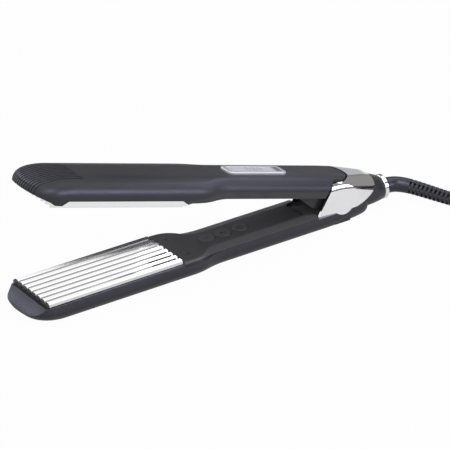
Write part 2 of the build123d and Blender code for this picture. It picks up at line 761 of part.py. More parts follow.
with BuildPart() as upper_shell:
    add(arm_form(UPPER, 1))
    add(arm_form(UPPER, 1, wall, upper_inner_rear), mode=Mode.SUBTRACT)
    # nose in front of the plate, and room for the plate's flange inside the rim
    with BuildSketch(deck(UPPER, rest_depth)):
        add(arm_plan(wall / 2))
        with Locations((plate_front - 0.2 - 20, 0)):
            Rectangle(40, 60, mode=Mode.INTERSECT)
    extrude(amount=8.0)
    with BuildSketch(deck(UPPER, 0)):
        with Locations(((plate_front + plate_rear) / 2, 0)):
            Rectangle(plate_rear - plate_front + 0.4, 2 * plate_half + 0.4)
    extrude(amount=upper_rim, mode=Mode.SUBTRACT)
    with BuildSketch(side(UPPER)):
        add(outline([(nose_tip - 5, 6.3), (nose_tip, 5.3), (-220.0, 4.3), (-215.3, 2.9),
                     (nub_front, rest_depth), (nub_rear, rest_depth),
                     (nub_rear + 4.2, upper_rim), (bay_corner, upper_rim),
                     (plate_rear + 0.2, rest_depth + 0.4), (plate_rear + 0.2, upper_rim),
                     (waist_rear - 4, upper_seam), (40, upper_seam), (40, -10), (nose_tip - 5, -10)]))
    extrude(amount=30, both=True, mode=Mode.SUBTRACT)
    # slanted rear edge, leaving only the tongue behind it
    with BuildSketch(side(UPPER)):
        add(outline([seam_at(-10), seam_at(tongue_under), (50, tongue_under), (50, -10)]))
    extrude(amount=30, both=True, mode=Mode.SUBTRACT)
    with BuildSketch(deck(UPPER, tongue_under - 1)):
        with Locations((seam_head[0] + 30, 0)):
            Rectangle(60, 60)
        add(tongue_plan(), mode=Mode.SUBTRACT)
    extrude(amount=6, mode=Mode.SUBTRACT)
    # display pocket and window, and posts for its board
    with BuildSketch(deck(UPPER, bezel_top - bezel_depth)):
        with Locations((bezel_middle, 0)):
            RectangleRounded(bezel_length, 2 * bezel_half, bezel_round)
    extrude(amount=6, mode=Mode.SUBTRACT)
    with BuildSketch(deck(UPPER, lcd_board_top - lcd_board_thick - 0.8)):
        with Locations((bezel_middle, 0)):
            RectangleRounded(lens_length, lens_width, lens_round)
    extrude(amount=8, mode=Mode.SUBTRACT)
    with BuildSketch(deck(UPPER, lcd_board_top)):
        with Locations((bezel_middle, 0)):
            with GridLocations(bezel_length - 2, 15, 2, 2):
                Circle(1.5)
    extrude(amount=arm_depth - wall - lcd_board_top + 0.3)
    # screw bosses
    with BuildSketch(deck(UPPER, upper_cover_face + wall)):
        with Locations(*upper_screw_places):
            Circle(2.8)
    extrude(amount=arm_depth - wall - upper_cover_face - wall + 0.3)
    with BuildSketch(deck(UPPER, 0)):
        with Locations(*upper_screw_places):
            Circle(1.1)
    extrude(amount=11, mode=Mode.SUBTRACT)
    add(grip.part, mode=Mode.SUBTRACT)
upper_shell.part.label = "upper_shell"
export_step(upper_shell.part, "parts/upper_shell.step")

upper_seat = 4.4        # seat of the screw heads
with BuildPart() as upper_cover:
    with BuildSketch(deck(UPPER, rest_depth)):
        add(cover_plan(0, plate_rear + 0.2, -5))
    extrude(amount=upper_seam - rest_depth)
    with BuildSketch(side(UPPER)):
        add(outline([(plate_rear, upper_rim), (plate_rear + 0.2, upper_rim), (waist_rear - 4, upper_seam),
                     (0, upper_seam), (0, 20), (plate_rear, 20)]))
    extrude(amount=30, both=True, mode=Mode.SUBTRACT)
    with BuildSketch(side(UPPER)):
        add(outline([(plate_rear - 5, rest_depth + 0.4), (plate_rear + 0.2, rest_depth + 0.4), (-117.5, 2.4),
                     (-100, 2.9), (waist_rear - 3, upper_cover_face), (0, upper_cover_face), (0, -5),
                     (plate_rear - 5, -5)]))
    extrude(amount=30, both=True, mode=Mode.SUBTRACT)
    with BuildSketch(deck(UPPER, upper_cover_face + wall)):
        add(cover_plan(wall, plate_rear + 2.2, upper_inner_rear + 0.5))
    extrude(amount=6, mode=Mode.SUBTRACT)
    with BuildSketch(side(UPPER)):
        add(outline([seam_at(-10), seam_at(20), (20, 20), (20, -10)]))
    extrude(amount=30, both=True, mode=Mode.SUBTRACT)
    with BuildSketch(deck(UPPER, 0)):
        with Locations(*upper_screw_places):
            Circle(1.3)
    extrude(amount=8, mode=Mode.SUBTRACT)
    with BuildSketch(deck(UPPER, 0)):
        with Locations(*upper_screw_places):
            Circle(2.5)
    extrude(amount=upper_seat, mode=Mode.SUBTRACT)
    add(upper_knuckle.part, mode=Mode.SUBTRACT)
upper_cover.part.label = "upper_cover"
export_step(upper_cover.part, "parts/upper_cover.step")

with BuildPart() as upper_screws:
    for x, y in upper_screw_places:
        with BuildSketch(deck(UPPER, upper_seat - 0.9)):
            with Locations((x, y)):
                Circle(2.2)
        extrude(amount=0.9)
        with BuildSketch(deck(UPPER, upper_seat)):
            with Locations((x, y)):
                Circle(1.1)
        extrude(amount=6.0)
upper_screws.part.label = "upper_screws"
export_step(upper_screws.part, "parts/upper_screws.step")

# Upper plate: seven narrow ridges that drop into the valleys of the lower plate.
upper_flange = upper_rim - rim_gap
upper_edge = [(-plate_half, upper_flange), (-plate_half, mesh_gap)]
with BuildPart() as upper_plate:
    with BuildSketch(across(UPPER, plate_front)):
        add(plate_section(lower_ridges - 1, 0.45, 1.2, mesh_gap + 0.05 - ridge_depth, mesh_gap, upper_edge))
    extrude(amount=plate_rear - plate_front)
    with BuildSketch(deck(UPPER, upper_flange)):
        with Locations(((block_front + block_rear) / 2, 0)):
            Rectangle(block_rear - block_front, 2 * block_half)
    extrude(amount=upper_block_depth - upper_flange)
upper_plate.part.label = "upper_plate"
export_step(upper_plate.part, "parts/upper_plate.step")

# Display: bezel ring in its pocket, lens, module and board.
with BuildPart() as display_bezel:
    with BuildSketch(deck(UPPER, bezel_top - bezel_depth)):
        with Locations((bezel_middle, 0)):
            RectangleRounded(bezel_length, 2 * bezel_half, bezel_round)
            RectangleRounded(lens_length, lens_width, lens_round, mode=Mode.SUBTRACT)
    extrude(amount=bezel_depth)
    fillet(out_of(UPPER, display_bezel)[-1].outer_wire().edges(), 0.8)
display_bezel.part.label = "display_bezel"
export_step(display_bezel.part, "parts/display_bezel.step")

with BuildPart() as display_lens:
    with BuildSketch(deck(UPPER, lens_top - lens_thick)):
        with Locations((bezel_middle, 0)):
            RectangleRounded(lens_length, lens_width, lens_round)
    extrude(amount=lens_thick)
display_lens.part.label = "display_lens"
export_step(display_lens.part, "parts/display_lens.step")

with BuildPart() as display_module:
    with BuildSketch(deck(UPPER, lcd_board_top)):
        with Locations((bezel_middle, 0)):
            RectangleRounded(lens_length, lens_width, lens_round)
    extrude(amount=lens_top - lens_thick - lcd_board_top)
display_module.part.label = "display_module"
export_step(display_module.part, "parts/display_module.step")

with BuildPart() as display_board:
    with BuildSketch(deck(UPPER, lcd_board_top - lcd_board_thick)):
        with Locations((bezel_middle, 0)):
            Rectangle(bezel_length + 4, 19)
        with Locations(*upper_screw_places):
            Circle(3.1, mode=Mode.SUBTRACT)
    extrude(amount=lcd_board_thick)
display_board.part.label = "display_board"
export_step(display_board.part, "parts/display_board.step")

# ================================================================ MAINS LEAD
relief_root = 33.0      # front end of the strain relief, inside the rear end
board_level = board_top - board_thick / 2
# Clamp in the rear end, with the two leads that run from it to the control board.
with BuildPart() as cord_clamp:
    with BuildSketch(across(LOWER, 27.0)):
        with Locations((0, outlet_z)):
            Circle(clamp_radius)
            Circle(2.6, mode=Mode.SUBTRACT)
    extrude(amount=relief_root - 27.0)
cord_clamp.part.label = "cord_clamp"
export_step(cord_clamp.part, "parts/cord_clamp.step")

lead_radius, lead_bend = 1.1, 6.0
lead_floor = wall - arm_depth + lead_radius
with BuildPart() as inner_leads:
    for y in (-1.35, 1.35):
        with BuildLine() as lead_path:
            FilletPolyline([LOWER[0] + Vector(x, y, z) for x, z in
                            ((relief_root, outlet_z), (19.0, outlet_z), (6.0, lead_floor + 0.2),
                             (-20.0, lead_floor), (board_rear + 14, lead_floor),
                             (board_rear + 6, board_level), (board_rear, board_level))], radius=lead_bend)
        with BuildSketch(Plane(origin=LOWER[0] + Vector(relief_root, y, outlet_z), z_dir=(-1, 0, 0))):
            Circle(lead_radius)
        sweep(path=lead_path.line)
inner_leads.part.label = "inner_leads"
export_step(inner_leads.part, "parts/inner_leads.step")


def on_floor(points):
    """Points given from the hinge axis and the supporting surface, in the model's frame."""
    return [Vector(hinge_x + x, y, z) for x, y, z in points]


def cord_path(points):
    """Straight runs joined by tangent arcs as large as the runs allow; prints the radii."""
    radii = []
    for a, b, c in zip(points, points[1:], points[2:]):
        turn = math.radians((b - a).get_angle(c - b))
        radii.append(0.45 * min((b - a).length, (c - b).length) / math.tan(turn / 2))
    print("radii", [round(r, 1) for r in radii])
    return radii


def tube(label, points, start_radius, end_radius):
    """Tube along a route of straight runs and tangent arcs."""
    with BuildPart() as piece:
        with BuildLine() as route:
            FilletPolyline(points, radius=cord_path(points))
        with BuildSketch(Plane(origin=points[0], z_dir=points[1] - points[0])):
            Circle(start_radius)
        if end_radius != start_radius:
            with BuildSketch(Plane(origin=points[-1], z_dir=points[-1] - points[-2])):
                Circle(end_radius)
        sweep(path=route.line, multisection=end_radius != start_radius)
    length = sum(edge.length for edge in route.line.edges())
    middle = (start_radius**2 + start_radius * end_radius + end_radius**2) / 3
    print(label, "length", round(length, 1), "volume over section times length",
          round(piece.part.volume / (math.pi * middle * length), 4))
    return piece.part, length


# The relief leaves the collar, turns towards the near side and comes down to the surface.
outlet_height = meet_height - outlet_drop
relief_route = on_floor([(relief_root, 0, outlet_height), (46.0, 0, outlet_height), (54.0, -5.6, 8.5),
                         (60.5, -17.0, 6.9), (67.0, -31.0, 5.3), (73.0, -44.5, 4.25)])
relief_tube, relief_length = tube("strain_relief", relief_route, relief_radius, relief_tip_radius)
with BuildPart() as strain_relief:
    add(relief_tube)
    with BuildSketch(across(LOWER, relief_root)):      # flange inside the rear end
        with Locations((0, outlet_z)):
            Circle(clamp_radius)
    extrude(amount=2.5)
strain_relief.part.label = "strain_relief"
export_step(strain_relief.part, "parts/strain_relief.step")

# The cord runs from the relief to a coil that lies on the same surface.
tie_thick = 0.6
cord_radius = cord_diameter / 2
lead_route = on_floor([(73.0, -44.5, 4.25), (77.2, -53.95, 3.515), (82.3, -62.6, 3.4), (88.1, -70.1, 3.45),
                       (93.3, -75.3, 3.85)])
cord_tube, lead_length = tube("cord", lead_route, cord_radius, cord_radius)
cord_tube.label = "cord"
export_step(cord_tube, "parts/cord.step")

# Coil of three columns in three layers; the cord joins its outer column along a tangent.
coil_columns, coil_layers = 3, 3
coil_outer = 42.5       # radius of the outermost turn, to the middle of the cord
coil_middle = coil_outer - (coil_columns - 1) * cord_diameter / 2
coil_inner = coil_outer - (coil_columns - 1) * cord_diameter
coil_height = coil_layers * cord_diameter
coil_top = tie_thick + coil_height
coil_corner = cord_radius - 0.3
last_run = (lead_route[-1] - lead_route[-2]).normalized()
coil_centre = lead_route[-1] + Vector(-last_run.Y, last_run.X, 0) * coil_outer
with BuildPart() as cord_coil:
    with BuildSketch(Plane(origin=(coil_centre.X, coil_centre.Y, tie_thick))):
        Circle(coil_outer + cord_radius)
        Circle(coil_inner - cord_radius, mode=Mode.SUBTRACT)
    extrude(amount=coil_height)
    fillet(cord_coil.edges().filter_by(GeomType.CIRCLE), coil_corner)
cord_coil.part.label = "cord_coil"
export_step(cord_coil.part, "parts/cord_coil.step")

# Tie round the coil's section.
tie_width = 6.0
tie_angle = math.radians(125)
tie_across = Vector(math.sin(tie_angle), -math.cos(tie_angle), 0)
tie_out = Vector(math.cos(tie_angle), math.sin(tie_angle), 0)
tie_foot = Vector(coil_centre.X, coil_centre.Y, 0) - tie_across * (tie_width / 2)
with BuildPart() as cord_tie:
    with BuildSketch(Plane(origin=tie_foot, x_dir=tie_out, z_dir=tie_across)):
        with Locations((coil_middle, tie_thick + coil_height / 2)):
            RectangleRounded(coil_columns * cord_diameter + 2 * tie_thick, coil_height + 2 * tie_thick,
                             coil_corner + tie_thick)
            RectangleRounded(coil_columns * cord_diameter, coil_height, coil_corner, mode=Mode.SUBTRACT)
    extrude(amount=tie_width)
cord_tie.part.label = "cord_tie"
export_step(cord_tie.part, "parts/cord_tie.step")


def by_coil(points):
    """Points given by angle and radius about the middle of the coil, and by height."""
    return [Vector(coil_centre.X + radius * math.cos(math.radians(angle)),
                   coil_centre.Y + radius * math.sin(math.radians(angle)), z) for angle, radius, z in points]


# The tail climbs from the coil's middle column into the plug, which lies on the coil.
plug_wide, plug_thick, plug_round = 24.0, 15.0, 4.0
plug_neck, plug_shoulder, plug_length = 4.6, 14.0, 33.0
blade_gap, blade_thick, blade_wide, blade_length, blade_root = 12.7, 1.5, 6.35, 16.0, 4.0
plug_height = coil_top + plug_thick / 2
tail_route = by_coil([(255, 36.0, 16.85), (275, 36.0, 17.4), (296, 36.2, 20.0), (317, 36.4, 22.9),
                      (338, 36.4, 25.7), (359, 36.2, plug_height), (379, 35.9, plug_height)])
tail_tube, tail_length = tube("cord_tail", tail_route, cord_radius, cord_radius)
tail_tube.label = "cord_tail"
export_step(tail_tube, "parts/cord_tail.step")

plug_way = (tail_route[-1] - tail_route[-2]).normalized()


def on_plug(distance):
    """Plane across the plug at a distance from its cord end."""
    level = (-plug_way.Y, plug_way.X, 0)
    return Plane(origin=tail_route[-1] + plug_way * distance, x_dir=level, z_dir=plug_way)


with BuildPart() as plug_blades:
    with BuildSketch(on_plug(plug_length - blade_root)):
        with GridLocations(blade_gap, 0, 2, 1):
            Rectangle(blade_thick, blade_wide)
    extrude(amount=blade_root + blade_length)
    chamfer(plug_blades.edges().filter_by(Axis.Z).sort_by(Axis(tail_route[-1], plug_way))[-4:], 0.4)
plug_blades.part.label = "plug_blades"
export_step(plug_blades.part, "parts/plug_blades.step")

with BuildPart() as plug_body:
    with BuildSketch(on_plug(0)):
        Circle(plug_neck)
    with BuildSketch(on_plug(plug_shoulder / 2)):
        RectangleRounded(2 * plug_neck + 3, 2 * plug_neck + 1.4, plug_neck)
    with BuildSketch(on_plug(plug_shoulder)):
        RectangleRounded(plug_wide, plug_thick, plug_round)
    loft()
    with BuildSketch(on_plug(plug_shoulder)):
        RectangleRounded(plug_wide, plug_thick, plug_round)
    extrude(amount=plug_length - plug_shoulder)
    fillet(plug_body.faces().sort_by(Axis(tail_route[-1], plug_way))[-1].edges(), 1.2)
    add(plug_blades.part, mode=Mode.SUBTRACT)
plug_body.part.label = "plug_body"
export_step(plug_body.part, "parts/plug_body.step")

# Degrees wound at each radius, with the steps from one column to the next between them.
coil_runs = [(coil_outer, 840), ((coil_outer + coil_middle) / 2, 180), (coil_middle, 870),
             ((coil_middle + coil_inner) / 2, 120), (coil_inner, 540)]
coil_length = sum(math.radians(degrees) * radius for radius, degrees in coil_runs)
coil_turns = sum(degrees for _, degrees in coil_runs) / 360
free_length = lead_length + coil_length + tail_length
print("coil turns", round(coil_turns, 2), "cord from the relief to the plug in metres",
      round(free_length / 1000, 3), "and with the relief", round((free_length + relief_length) / 1000, 3))
print("coil centre from the hinge", [round(v, 2) for v in (coil_centre.X - hinge_x, coil_centre.Y)])
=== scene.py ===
"""Hair waver with two hinged arms: finishes, mains lead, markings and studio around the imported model."""

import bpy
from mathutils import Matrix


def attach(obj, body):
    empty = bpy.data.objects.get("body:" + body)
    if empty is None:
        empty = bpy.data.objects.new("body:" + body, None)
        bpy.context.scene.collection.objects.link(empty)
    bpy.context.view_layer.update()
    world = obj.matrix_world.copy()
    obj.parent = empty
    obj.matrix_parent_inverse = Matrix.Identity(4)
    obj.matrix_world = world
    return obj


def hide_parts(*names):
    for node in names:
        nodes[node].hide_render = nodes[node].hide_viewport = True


bl_info = {
    "name": "Hair Waver Finish",
    "version": (1, 0, 0),
    "blender": (4, 5, 0),
    "location": "View3D > Sidebar > Hair Waver",
    "description": "Finishes, lead, markings and studio for a two-armed hair waver",
    "category": "Object",
}

import math
from collections import namedtuple

import bpy
import bmesh
from bpy.props import FloatProperty, FloatVectorProperty, IntProperty, PointerProperty
from mathutils import Matrix, Vector

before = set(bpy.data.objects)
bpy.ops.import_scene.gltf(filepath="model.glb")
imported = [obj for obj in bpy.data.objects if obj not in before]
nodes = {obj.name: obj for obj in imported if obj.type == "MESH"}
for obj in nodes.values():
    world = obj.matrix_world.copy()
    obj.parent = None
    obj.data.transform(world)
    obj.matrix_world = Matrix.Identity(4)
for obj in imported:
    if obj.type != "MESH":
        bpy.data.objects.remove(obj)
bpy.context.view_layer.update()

MM = 0.001

# ---------------------------------------------------------------- places taken over from the model
HINGE = Vector((91.5, 0.0, 14.1)) * MM
HINGE_DROP = 1.3 * MM            # hinge axis below the plane in which the plates meet
OPEN_ANGLE = math.radians(16.5)  # the upper arm's tilt at rest


def arm_frame(tilt):
    """Frame of an arm: along it, across it and out of it, from the hinge in the plates' plane."""
    turn = Matrix.Rotation(tilt, 4, "Y")
    return Matrix.Translation(HINGE) @ turn @ Matrix.Translation((0, 0, HINGE_DROP))


LOWER = arm_frame(0.0)
UPPER = arm_frame(OPEN_ANGLE)

# Heights and places are in an arm's frame.
BUTTON_FACE = -2.3 * MM
BUTTON_PLACES = {"minus": -90.2 * MM, "mode": -78.9 * MM, "power": -66.3 * MM}
LENS_TOP = 16.7 * MM
LENS_FRONT, LENS_REAR = -80.5 * MM, -42.6 * MM
LOWER_SCREWS = [(-107.0 * MM, 13.0 * MM), (-40.5 * MM, 10.8 * MM)]
UPPER_SCREWS = [(-107.0 * MM, 12.5 * MM), (-46.0 * MM, 11.0 * MM)]
LOWER_SCREW_FACE, LOWER_SCREW_RADIUS = -14.4 * MM, 2.2 * MM
UPPER_SCREW_FACE, UPPER_SCREW_RADIUS = 3.5 * MM, 2.1 * MM

# Routes repeat the model's, in metres.
RELIEF_ROUTE = [
    (0.1245, 0.0, 0.00935),
    (0.1375, 0.0, 0.00935),
    (0.1455, -0.0056, 0.0085),
    (0.1520, -0.0170, 0.0069),
    (0.1585, -0.0310, 0.0053),
    (0.1645, -0.0445, 0.00425),
]
LEAD_ROUTE = [
    (0.1645, -0.0445, 0.00425),
    (0.1687, -0.05395, 0.003515),
    (0.1738, -0.0626, 0.0034),
    (0.1796, -0.0701, 0.00345),
]
COIL_CENTRE = Vector((0.21481, -0.04529, 0.0))
COIL_START = 225.0               # where the lead joins the coil, in degrees
# The coil: degrees turned so far, column and layer. Between two entries the lead moves over evenly.
OUTER, MIDDLE, INNER = 0, 1, 2
COIL_TURNS = [
    (0, OUTER, 0), (300, OUTER, 0), (360, MIDDLE, 0), (660, MIDDLE, 0), (720, INNER, 0), (960, INNER, 0),
    (1020, INNER, 1), (1260, INNER, 1), (1320, MIDDLE, 1), (1620, MIDDLE, 1), (1680, OUTER, 1),
    (1920, OUTER, 1), (1980, OUTER, 2), (2220, OUTER, 2), (2280, MIDDLE, 2), (2550, MIDDLE, 2),
]
# The tail climbs from the coil to the plug: degrees and metres about the middle of the coil.
TAIL_ROUTE = [
    (275, 0.0360, 0.0174),
    (296, 0.0362, 0.0200),
    (317, 0.0364, 0.0229),
    (338, 0.0364, 0.0257),
    (359, 0.0362, 0.0276),
    (379, 0.0359, 0.0276),
]

# ---------------------------------------------------------------- details that only this script has
CREASE_ANGLE = 0.6               # edges sharper than this stay sharp, in radians
ROUTE_STEPS = 72                 # points along the relief
ROUND_SIDES = 40                 # sides of the relief's root, rings and core
RAIL_SIDES = 14
CORE_SHARE = 0.60                # the core's radius over the rings'
TIP_START = 0.965                # share of the relief before its plain tip
RAIL_COUNT = 4
RAIL_RADIUS = 1.6 * MM
RAIL_TURN = math.radians(-7)

SCREW_SIDES = 32
SCREW_RISE = 0.55 * MM
SCREW_CROWN = 0.72               # the head's top radius over its foot's
CROSS_LENGTH, CROSS_WIDTH = 1.1, 0.26   # over the head's radius
CROSS_DEPTH = 1.5                # height of the cutting bar over the head's

SIGN_HALF = 1.7 * MM             # half a minus sign, and the radius of the power sign
SIGN_WIDTH, SIGN_RISE = 0.55 * MM, 0.04 * MM
POWER_ARC = (120, 420)           # degrees
POWER_BAR = (0.5 * MM, 2.1 * MM)
WAVE_STEP, WAVE_HEIGHT = 0.25 * MM, 0.75 * MM
WAVE_TURN = 60                   # degrees a step
WAVE_REACH = 8                   # steps to either side
DIGIT_COUNT = 3
DIGIT_HALF, DIGIT_STEP, DIGIT_GAP = 1.25 * MM, 4.6 * MM, 0.35 * MM
DIGIT_WIDTH, DIGIT_RISE = 0.6 * MM, 0.02 * MM

# ---------------------------------------------------------------- finishes
GRAIN_SIZE, GRAIN_DEPTH = 0.35 * MM, 0.006 * MM
PLASTIC_MOTTLE, METAL_MOTTLE = 14 * MM, 9 * MM
MOTTLE_RANGE = (0.3, 0.7)        # the part of the noise that changes the gloss
PLASTIC_TONES, METAL_TONES = (0.9, 1.1), (0.97, 1.03)   # gains between which a colour drifts
BLUISH = {"Specular_Tint": (0.80, 0.80, 1.00, 1.0)}
STEEL = (0.55, 0.55, 0.57)
CERAMIC = (0.75, 0.73, 0.68)
BOARD_GREEN = (0.03, 0.16, 0.07)
SIGN_DARK = (0.012, 0.012, 0.014)
DIGIT_GREY = (0.30, 0.30, 0.34)

# Painted light and shade on a finish: inputs of the arm_side group, heights between which it fades out, and
# its gain.
PaintedLightBand = namedtuple("PaintedLightBand", "feeds start end gain")

# ---------------------------------------------------------------- studio
SENSOR_WIDTH = 36.0
FLOOR_SIDES = 96
LAMP_AIM = Vector((0.0, 0.0, 0.03))
# Name, place, and shares of the key lamp's power and size.
STUDIO_LAMPS = [
    ("key_lamp", (-0.75, -0.55, 1.25), 1.0, 1.0),
    ("front_lamp", (0.50, -0.85, 0.45), 0.45, 0.7),
    ("rim_lamp", (0.85, 0.90, 1.10), 0.35, 0.8),
]

COOL_WHITE = (0.80, 0.80, 1.00)
WARM_GREY = (0.30, 0.285, 0.275)
DARK_GREY = (0.06, 0.06, 0.07)


def upright(y, left, right, low, high):
    """Corners of an upright card that runs from left to right."""
    return [(left, y, low), (right, y, low), (right, y, high), (left, y, high)]


# Cards round the waver that only glossy surfaces see: name, corners, colour and strength.
STUDIO_CARDS = [
    ("front_box", [(0.30, -0.82, 0.13), (0.75, -0.51, 0.13), (0.70, -0.45, 0.50), (0.27, -0.74, 0.50)],
     COOL_WHITE, 13.0),
    ("front_edge", [(0.30, -0.84, 0.00), (1.10, -0.30, 0.00), (1.10, -0.30, 0.09), (0.30, -0.84, 0.09)],
     DARK_GREY, 1.0),
    ("floor_edge", [(0.06, -0.24, 0.001), (0.70, -0.24, 0.001), (0.70, -0.10, 0.001), (0.06, -0.10, 0.001)],
     (0.05, 0.05, 0.06), 1.0),
    ("side_card", [(1.00, -0.76, 0.09), (0.90, 0.80, 0.09), (0.80, 0.75, 0.75), (0.90, -0.68, 0.75)],
     WARM_GREY, 1.0),
    ("plate_flag", [(-0.03, -0.26, 0.0716), (0.118, -0.26, 0.0641),
                    (0.118, -0.26, 0.10), (-0.03, -0.26, 0.10)],
     (0.05, 0.05, 0.055), 1.0),
    ("plate_card", upright(-0.27, -0.06, 0.165, 0.045, 0.085), (1.00, 1.00, 1.00), 1.25),
    ("handle_flag", upright(-0.28, 0.18, 0.50, 0.05, 0.22), COOL_WHITE, 6.0),
    ("hood_flag", [(0.12, -0.10, 0.078), (0.26, -0.10, 0.078), (0.26, -0.10, 0.42), (0.09, -0.10, 0.42)],
     WARM_GREY, 1.0),
    ("handle_card", [(0.22, -0.10, 0.140), (0.22, 0.16, 0.140), (0.22, 0.16, 0.25), (0.22, -0.10, 0.25)],
     (0.82, 0.83, 1.00), 3.1),
    ("top_box", [(-0.45, -0.75, 1.05), (0.15, -0.75, 1.05), (0.15, -0.15, 1.20), (-0.45, -0.15, 1.20)],
     (0.86, 0.86, 1.00), 7.5),
    ("back_box", [(-0.55, 0.78, 0.40), (0.05, 0.78, 0.40), (0.05, 0.62, 0.72), (-0.55, 0.62, 0.72)],
     (0.80, 0.82, 1.00), 4.4),
    ("rear_card", [(0.05, 0.55, 0.09), (0.60, 0.55, 0.09), (0.60, 0.55, 0.36), (0.05, 0.55, 0.296)],
     DARK_GREY, 1.0),
    ("rear_wing", upright(0.55, 0.60, 0.90, 0.09, 0.36), (0.24, 0.24, 0.25), 1.0),
    ("rear_top", [(0.32, 0.55, 0.325), (0.60, 0.55, 0.36), (0.90, 0.55, 0.36), (0.90, 0.55, 0.60),
                  (0.05, 0.55, 0.60), (0.05, 0.55, 0.42), (0.32, 0.55, 0.42)],
     (0.13, 0.13, 0.14), 1.0),
    ("rear_high", upright(0.55, 0.05, 0.90, 0.60, 0.90), (0.48, 0.47, 0.46), 1.0),
    ("rear_edge", upright(0.56, 0.05, 0.95, 0.00, 0.10), (0.48, 0.50, 0.53), 1.0),
]


# ================================================================ settings
class StudioSettings(bpy.types.PropertyGroup):
    """Camera, floor and light."""

    camera_place: FloatVectorProperty(
        name="Camera Place", description="Where the camera stands",
        default=(-0.74005, -1.27572, 0.73664), subtype="TRANSLATION", unit="LENGTH")
    camera_aim: FloatVectorProperty(
        name="Camera Aim", description="Point in the middle of the view",
        default=(-0.00875, -0.03978, 0.0400), subtype="TRANSLATION", unit="LENGTH")
    camera_roll: FloatProperty(
        name="Camera Roll", description="Turn of the camera about its own line of sight",
        default=math.radians(-3.515), subtype="ANGLE")
    camera_lens: FloatProperty(
        name="Focal Length", description="Focal length on a 36 mm sensor", default=214.449)
    floor_radius: FloatProperty(
        name="Floor Radius", description="Reach of the floor round the waver",
        default=4.0, unit="LENGTH")
    floor_colour: FloatVectorProperty(
        name="Floor Colour", description="Colour of the floor", default=(0.66, 0.66, 0.66), subtype="COLOR")
    floor_lift: FloatProperty(
        name="Floor Lift", description="Share of plain white that the camera sees in the floor",
        default=0.97, min=0.0, max=1.0, subtype="FACTOR")
    floor_gleam: FloatProperty(
        name="Floor Gleam", description="Share of plain white that metal and glass see in the floor",
        default=0.42, min=0.0, max=1.0, subtype="FACTOR")
    world_light: FloatProperty(
        name="World Light", description="Strength of the light from all round", default=0.62)
    key_power: FloatProperty(
        name="Key Power", description="Power of the large lamp on the left, in watts", default=7.0)
    key_size: FloatProperty(
        name="Key Size", description="Side of the large lamp", default=1.1, unit="LENGTH")


class FinishSettings(bpy.types.PropertyGroup):
    """Colours of the waver's finishes."""

    shell_colour: FloatVectorProperty(
        name="Shell", description="Soft-touch casing of both arms",
        default=(0.029, 0.029, 0.032), subtype="COLOR")
    cover_colour: FloatVectorProperty(
        name="Inner Cover", description="Inner covers of the handles",
        default=(0.049, 0.049, 0.052), subtype="COLOR")
    rear_colour: FloatVectorProperty(
        name="Rear End", description="Rear end and knuckle", default=(0.030, 0.030, 0.034), subtype="COLOR")
    rubber_colour: FloatVectorProperty(
        name="Rubber", description="Relief, lead and plug", default=(0.016, 0.016, 0.018), subtype="COLOR")
    button_colour: FloatVectorProperty(
        name="Buttons", description="Caps of the three buttons",
        default=(0.066, 0.066, 0.070), subtype="COLOR")
    plate_colour: FloatVectorProperty(
        name="Plates", description="Polished heated plates", default=(0.93, 0.93, 0.94), subtype="COLOR")
    chrome_colour: FloatVectorProperty(
        name="Chrome", description="Hood and collar", default=(0.88, 0.88, 0.90), subtype="COLOR")
    bezel_colour: FloatVectorProperty(
        name="Bezel", description="Frame of the display", default=(0.52, 0.52, 0.54), subtype="COLOR")
    lens_colour: FloatVectorProperty(
        name="Lens", description="Window of the display", default=(0.70, 0.70, 0.78), subtype="COLOR")


class LeadSettings(bpy.types.PropertyGroup):
    """Mains lead and its relief."""

    diameter: FloatProperty(
        name="Diameter", description="Thickness of the mains lead", default=6.5 * MM, unit="LENGTH")
    length: FloatProperty(
        name="Length", description="Lead from the relief's end to the plug", default=1.755, unit="LENGTH")
    coil_radius: FloatProperty(
        name="Coil Radius", description="Outermost turn, to the middle of the lead",
        default=42.5 * MM, unit="LENGTH")
    coil_rest: FloatProperty(
        name="Coil Rest", description="Height of the coil's underside, which its tie lifts",
        default=0.6 * MM, unit="LENGTH")
    turn_points: IntProperty(
        name="Points a Turn", description="Points in each turn of the coil", default=24, min=12)
    relief_start: FloatProperty(
        name="Relief Root", description="Radius of the relief at the collar",
        default=5.3 * MM, unit="LENGTH")
    relief_end: FloatProperty(
        name="Relief Tip", description="Radius of the relief at its tip", default=4.1 * MM, unit="LENGTH")
    plain_share: FloatProperty(
        name="Plain Share", description="Share of the relief before its first ring", default=0.40,
        min=0.0, max=0.9, subtype="FACTOR")
    ring_pitch: FloatProperty(
        name="Ring Pitch", description="Distance between the relief's rings",
        default=2.85 * MM, unit="LENGTH")
    ring_thickness: FloatProperty(
        name="Ring Thickness", description="Thickness of the relief's rings",
        default=1.45 * MM, unit="LENGTH")


GROUPS = {
    "waver_studio": StudioSettings,
    "waver_finish": FinishSettings,
    "waver_lead": LeadSettings,
}


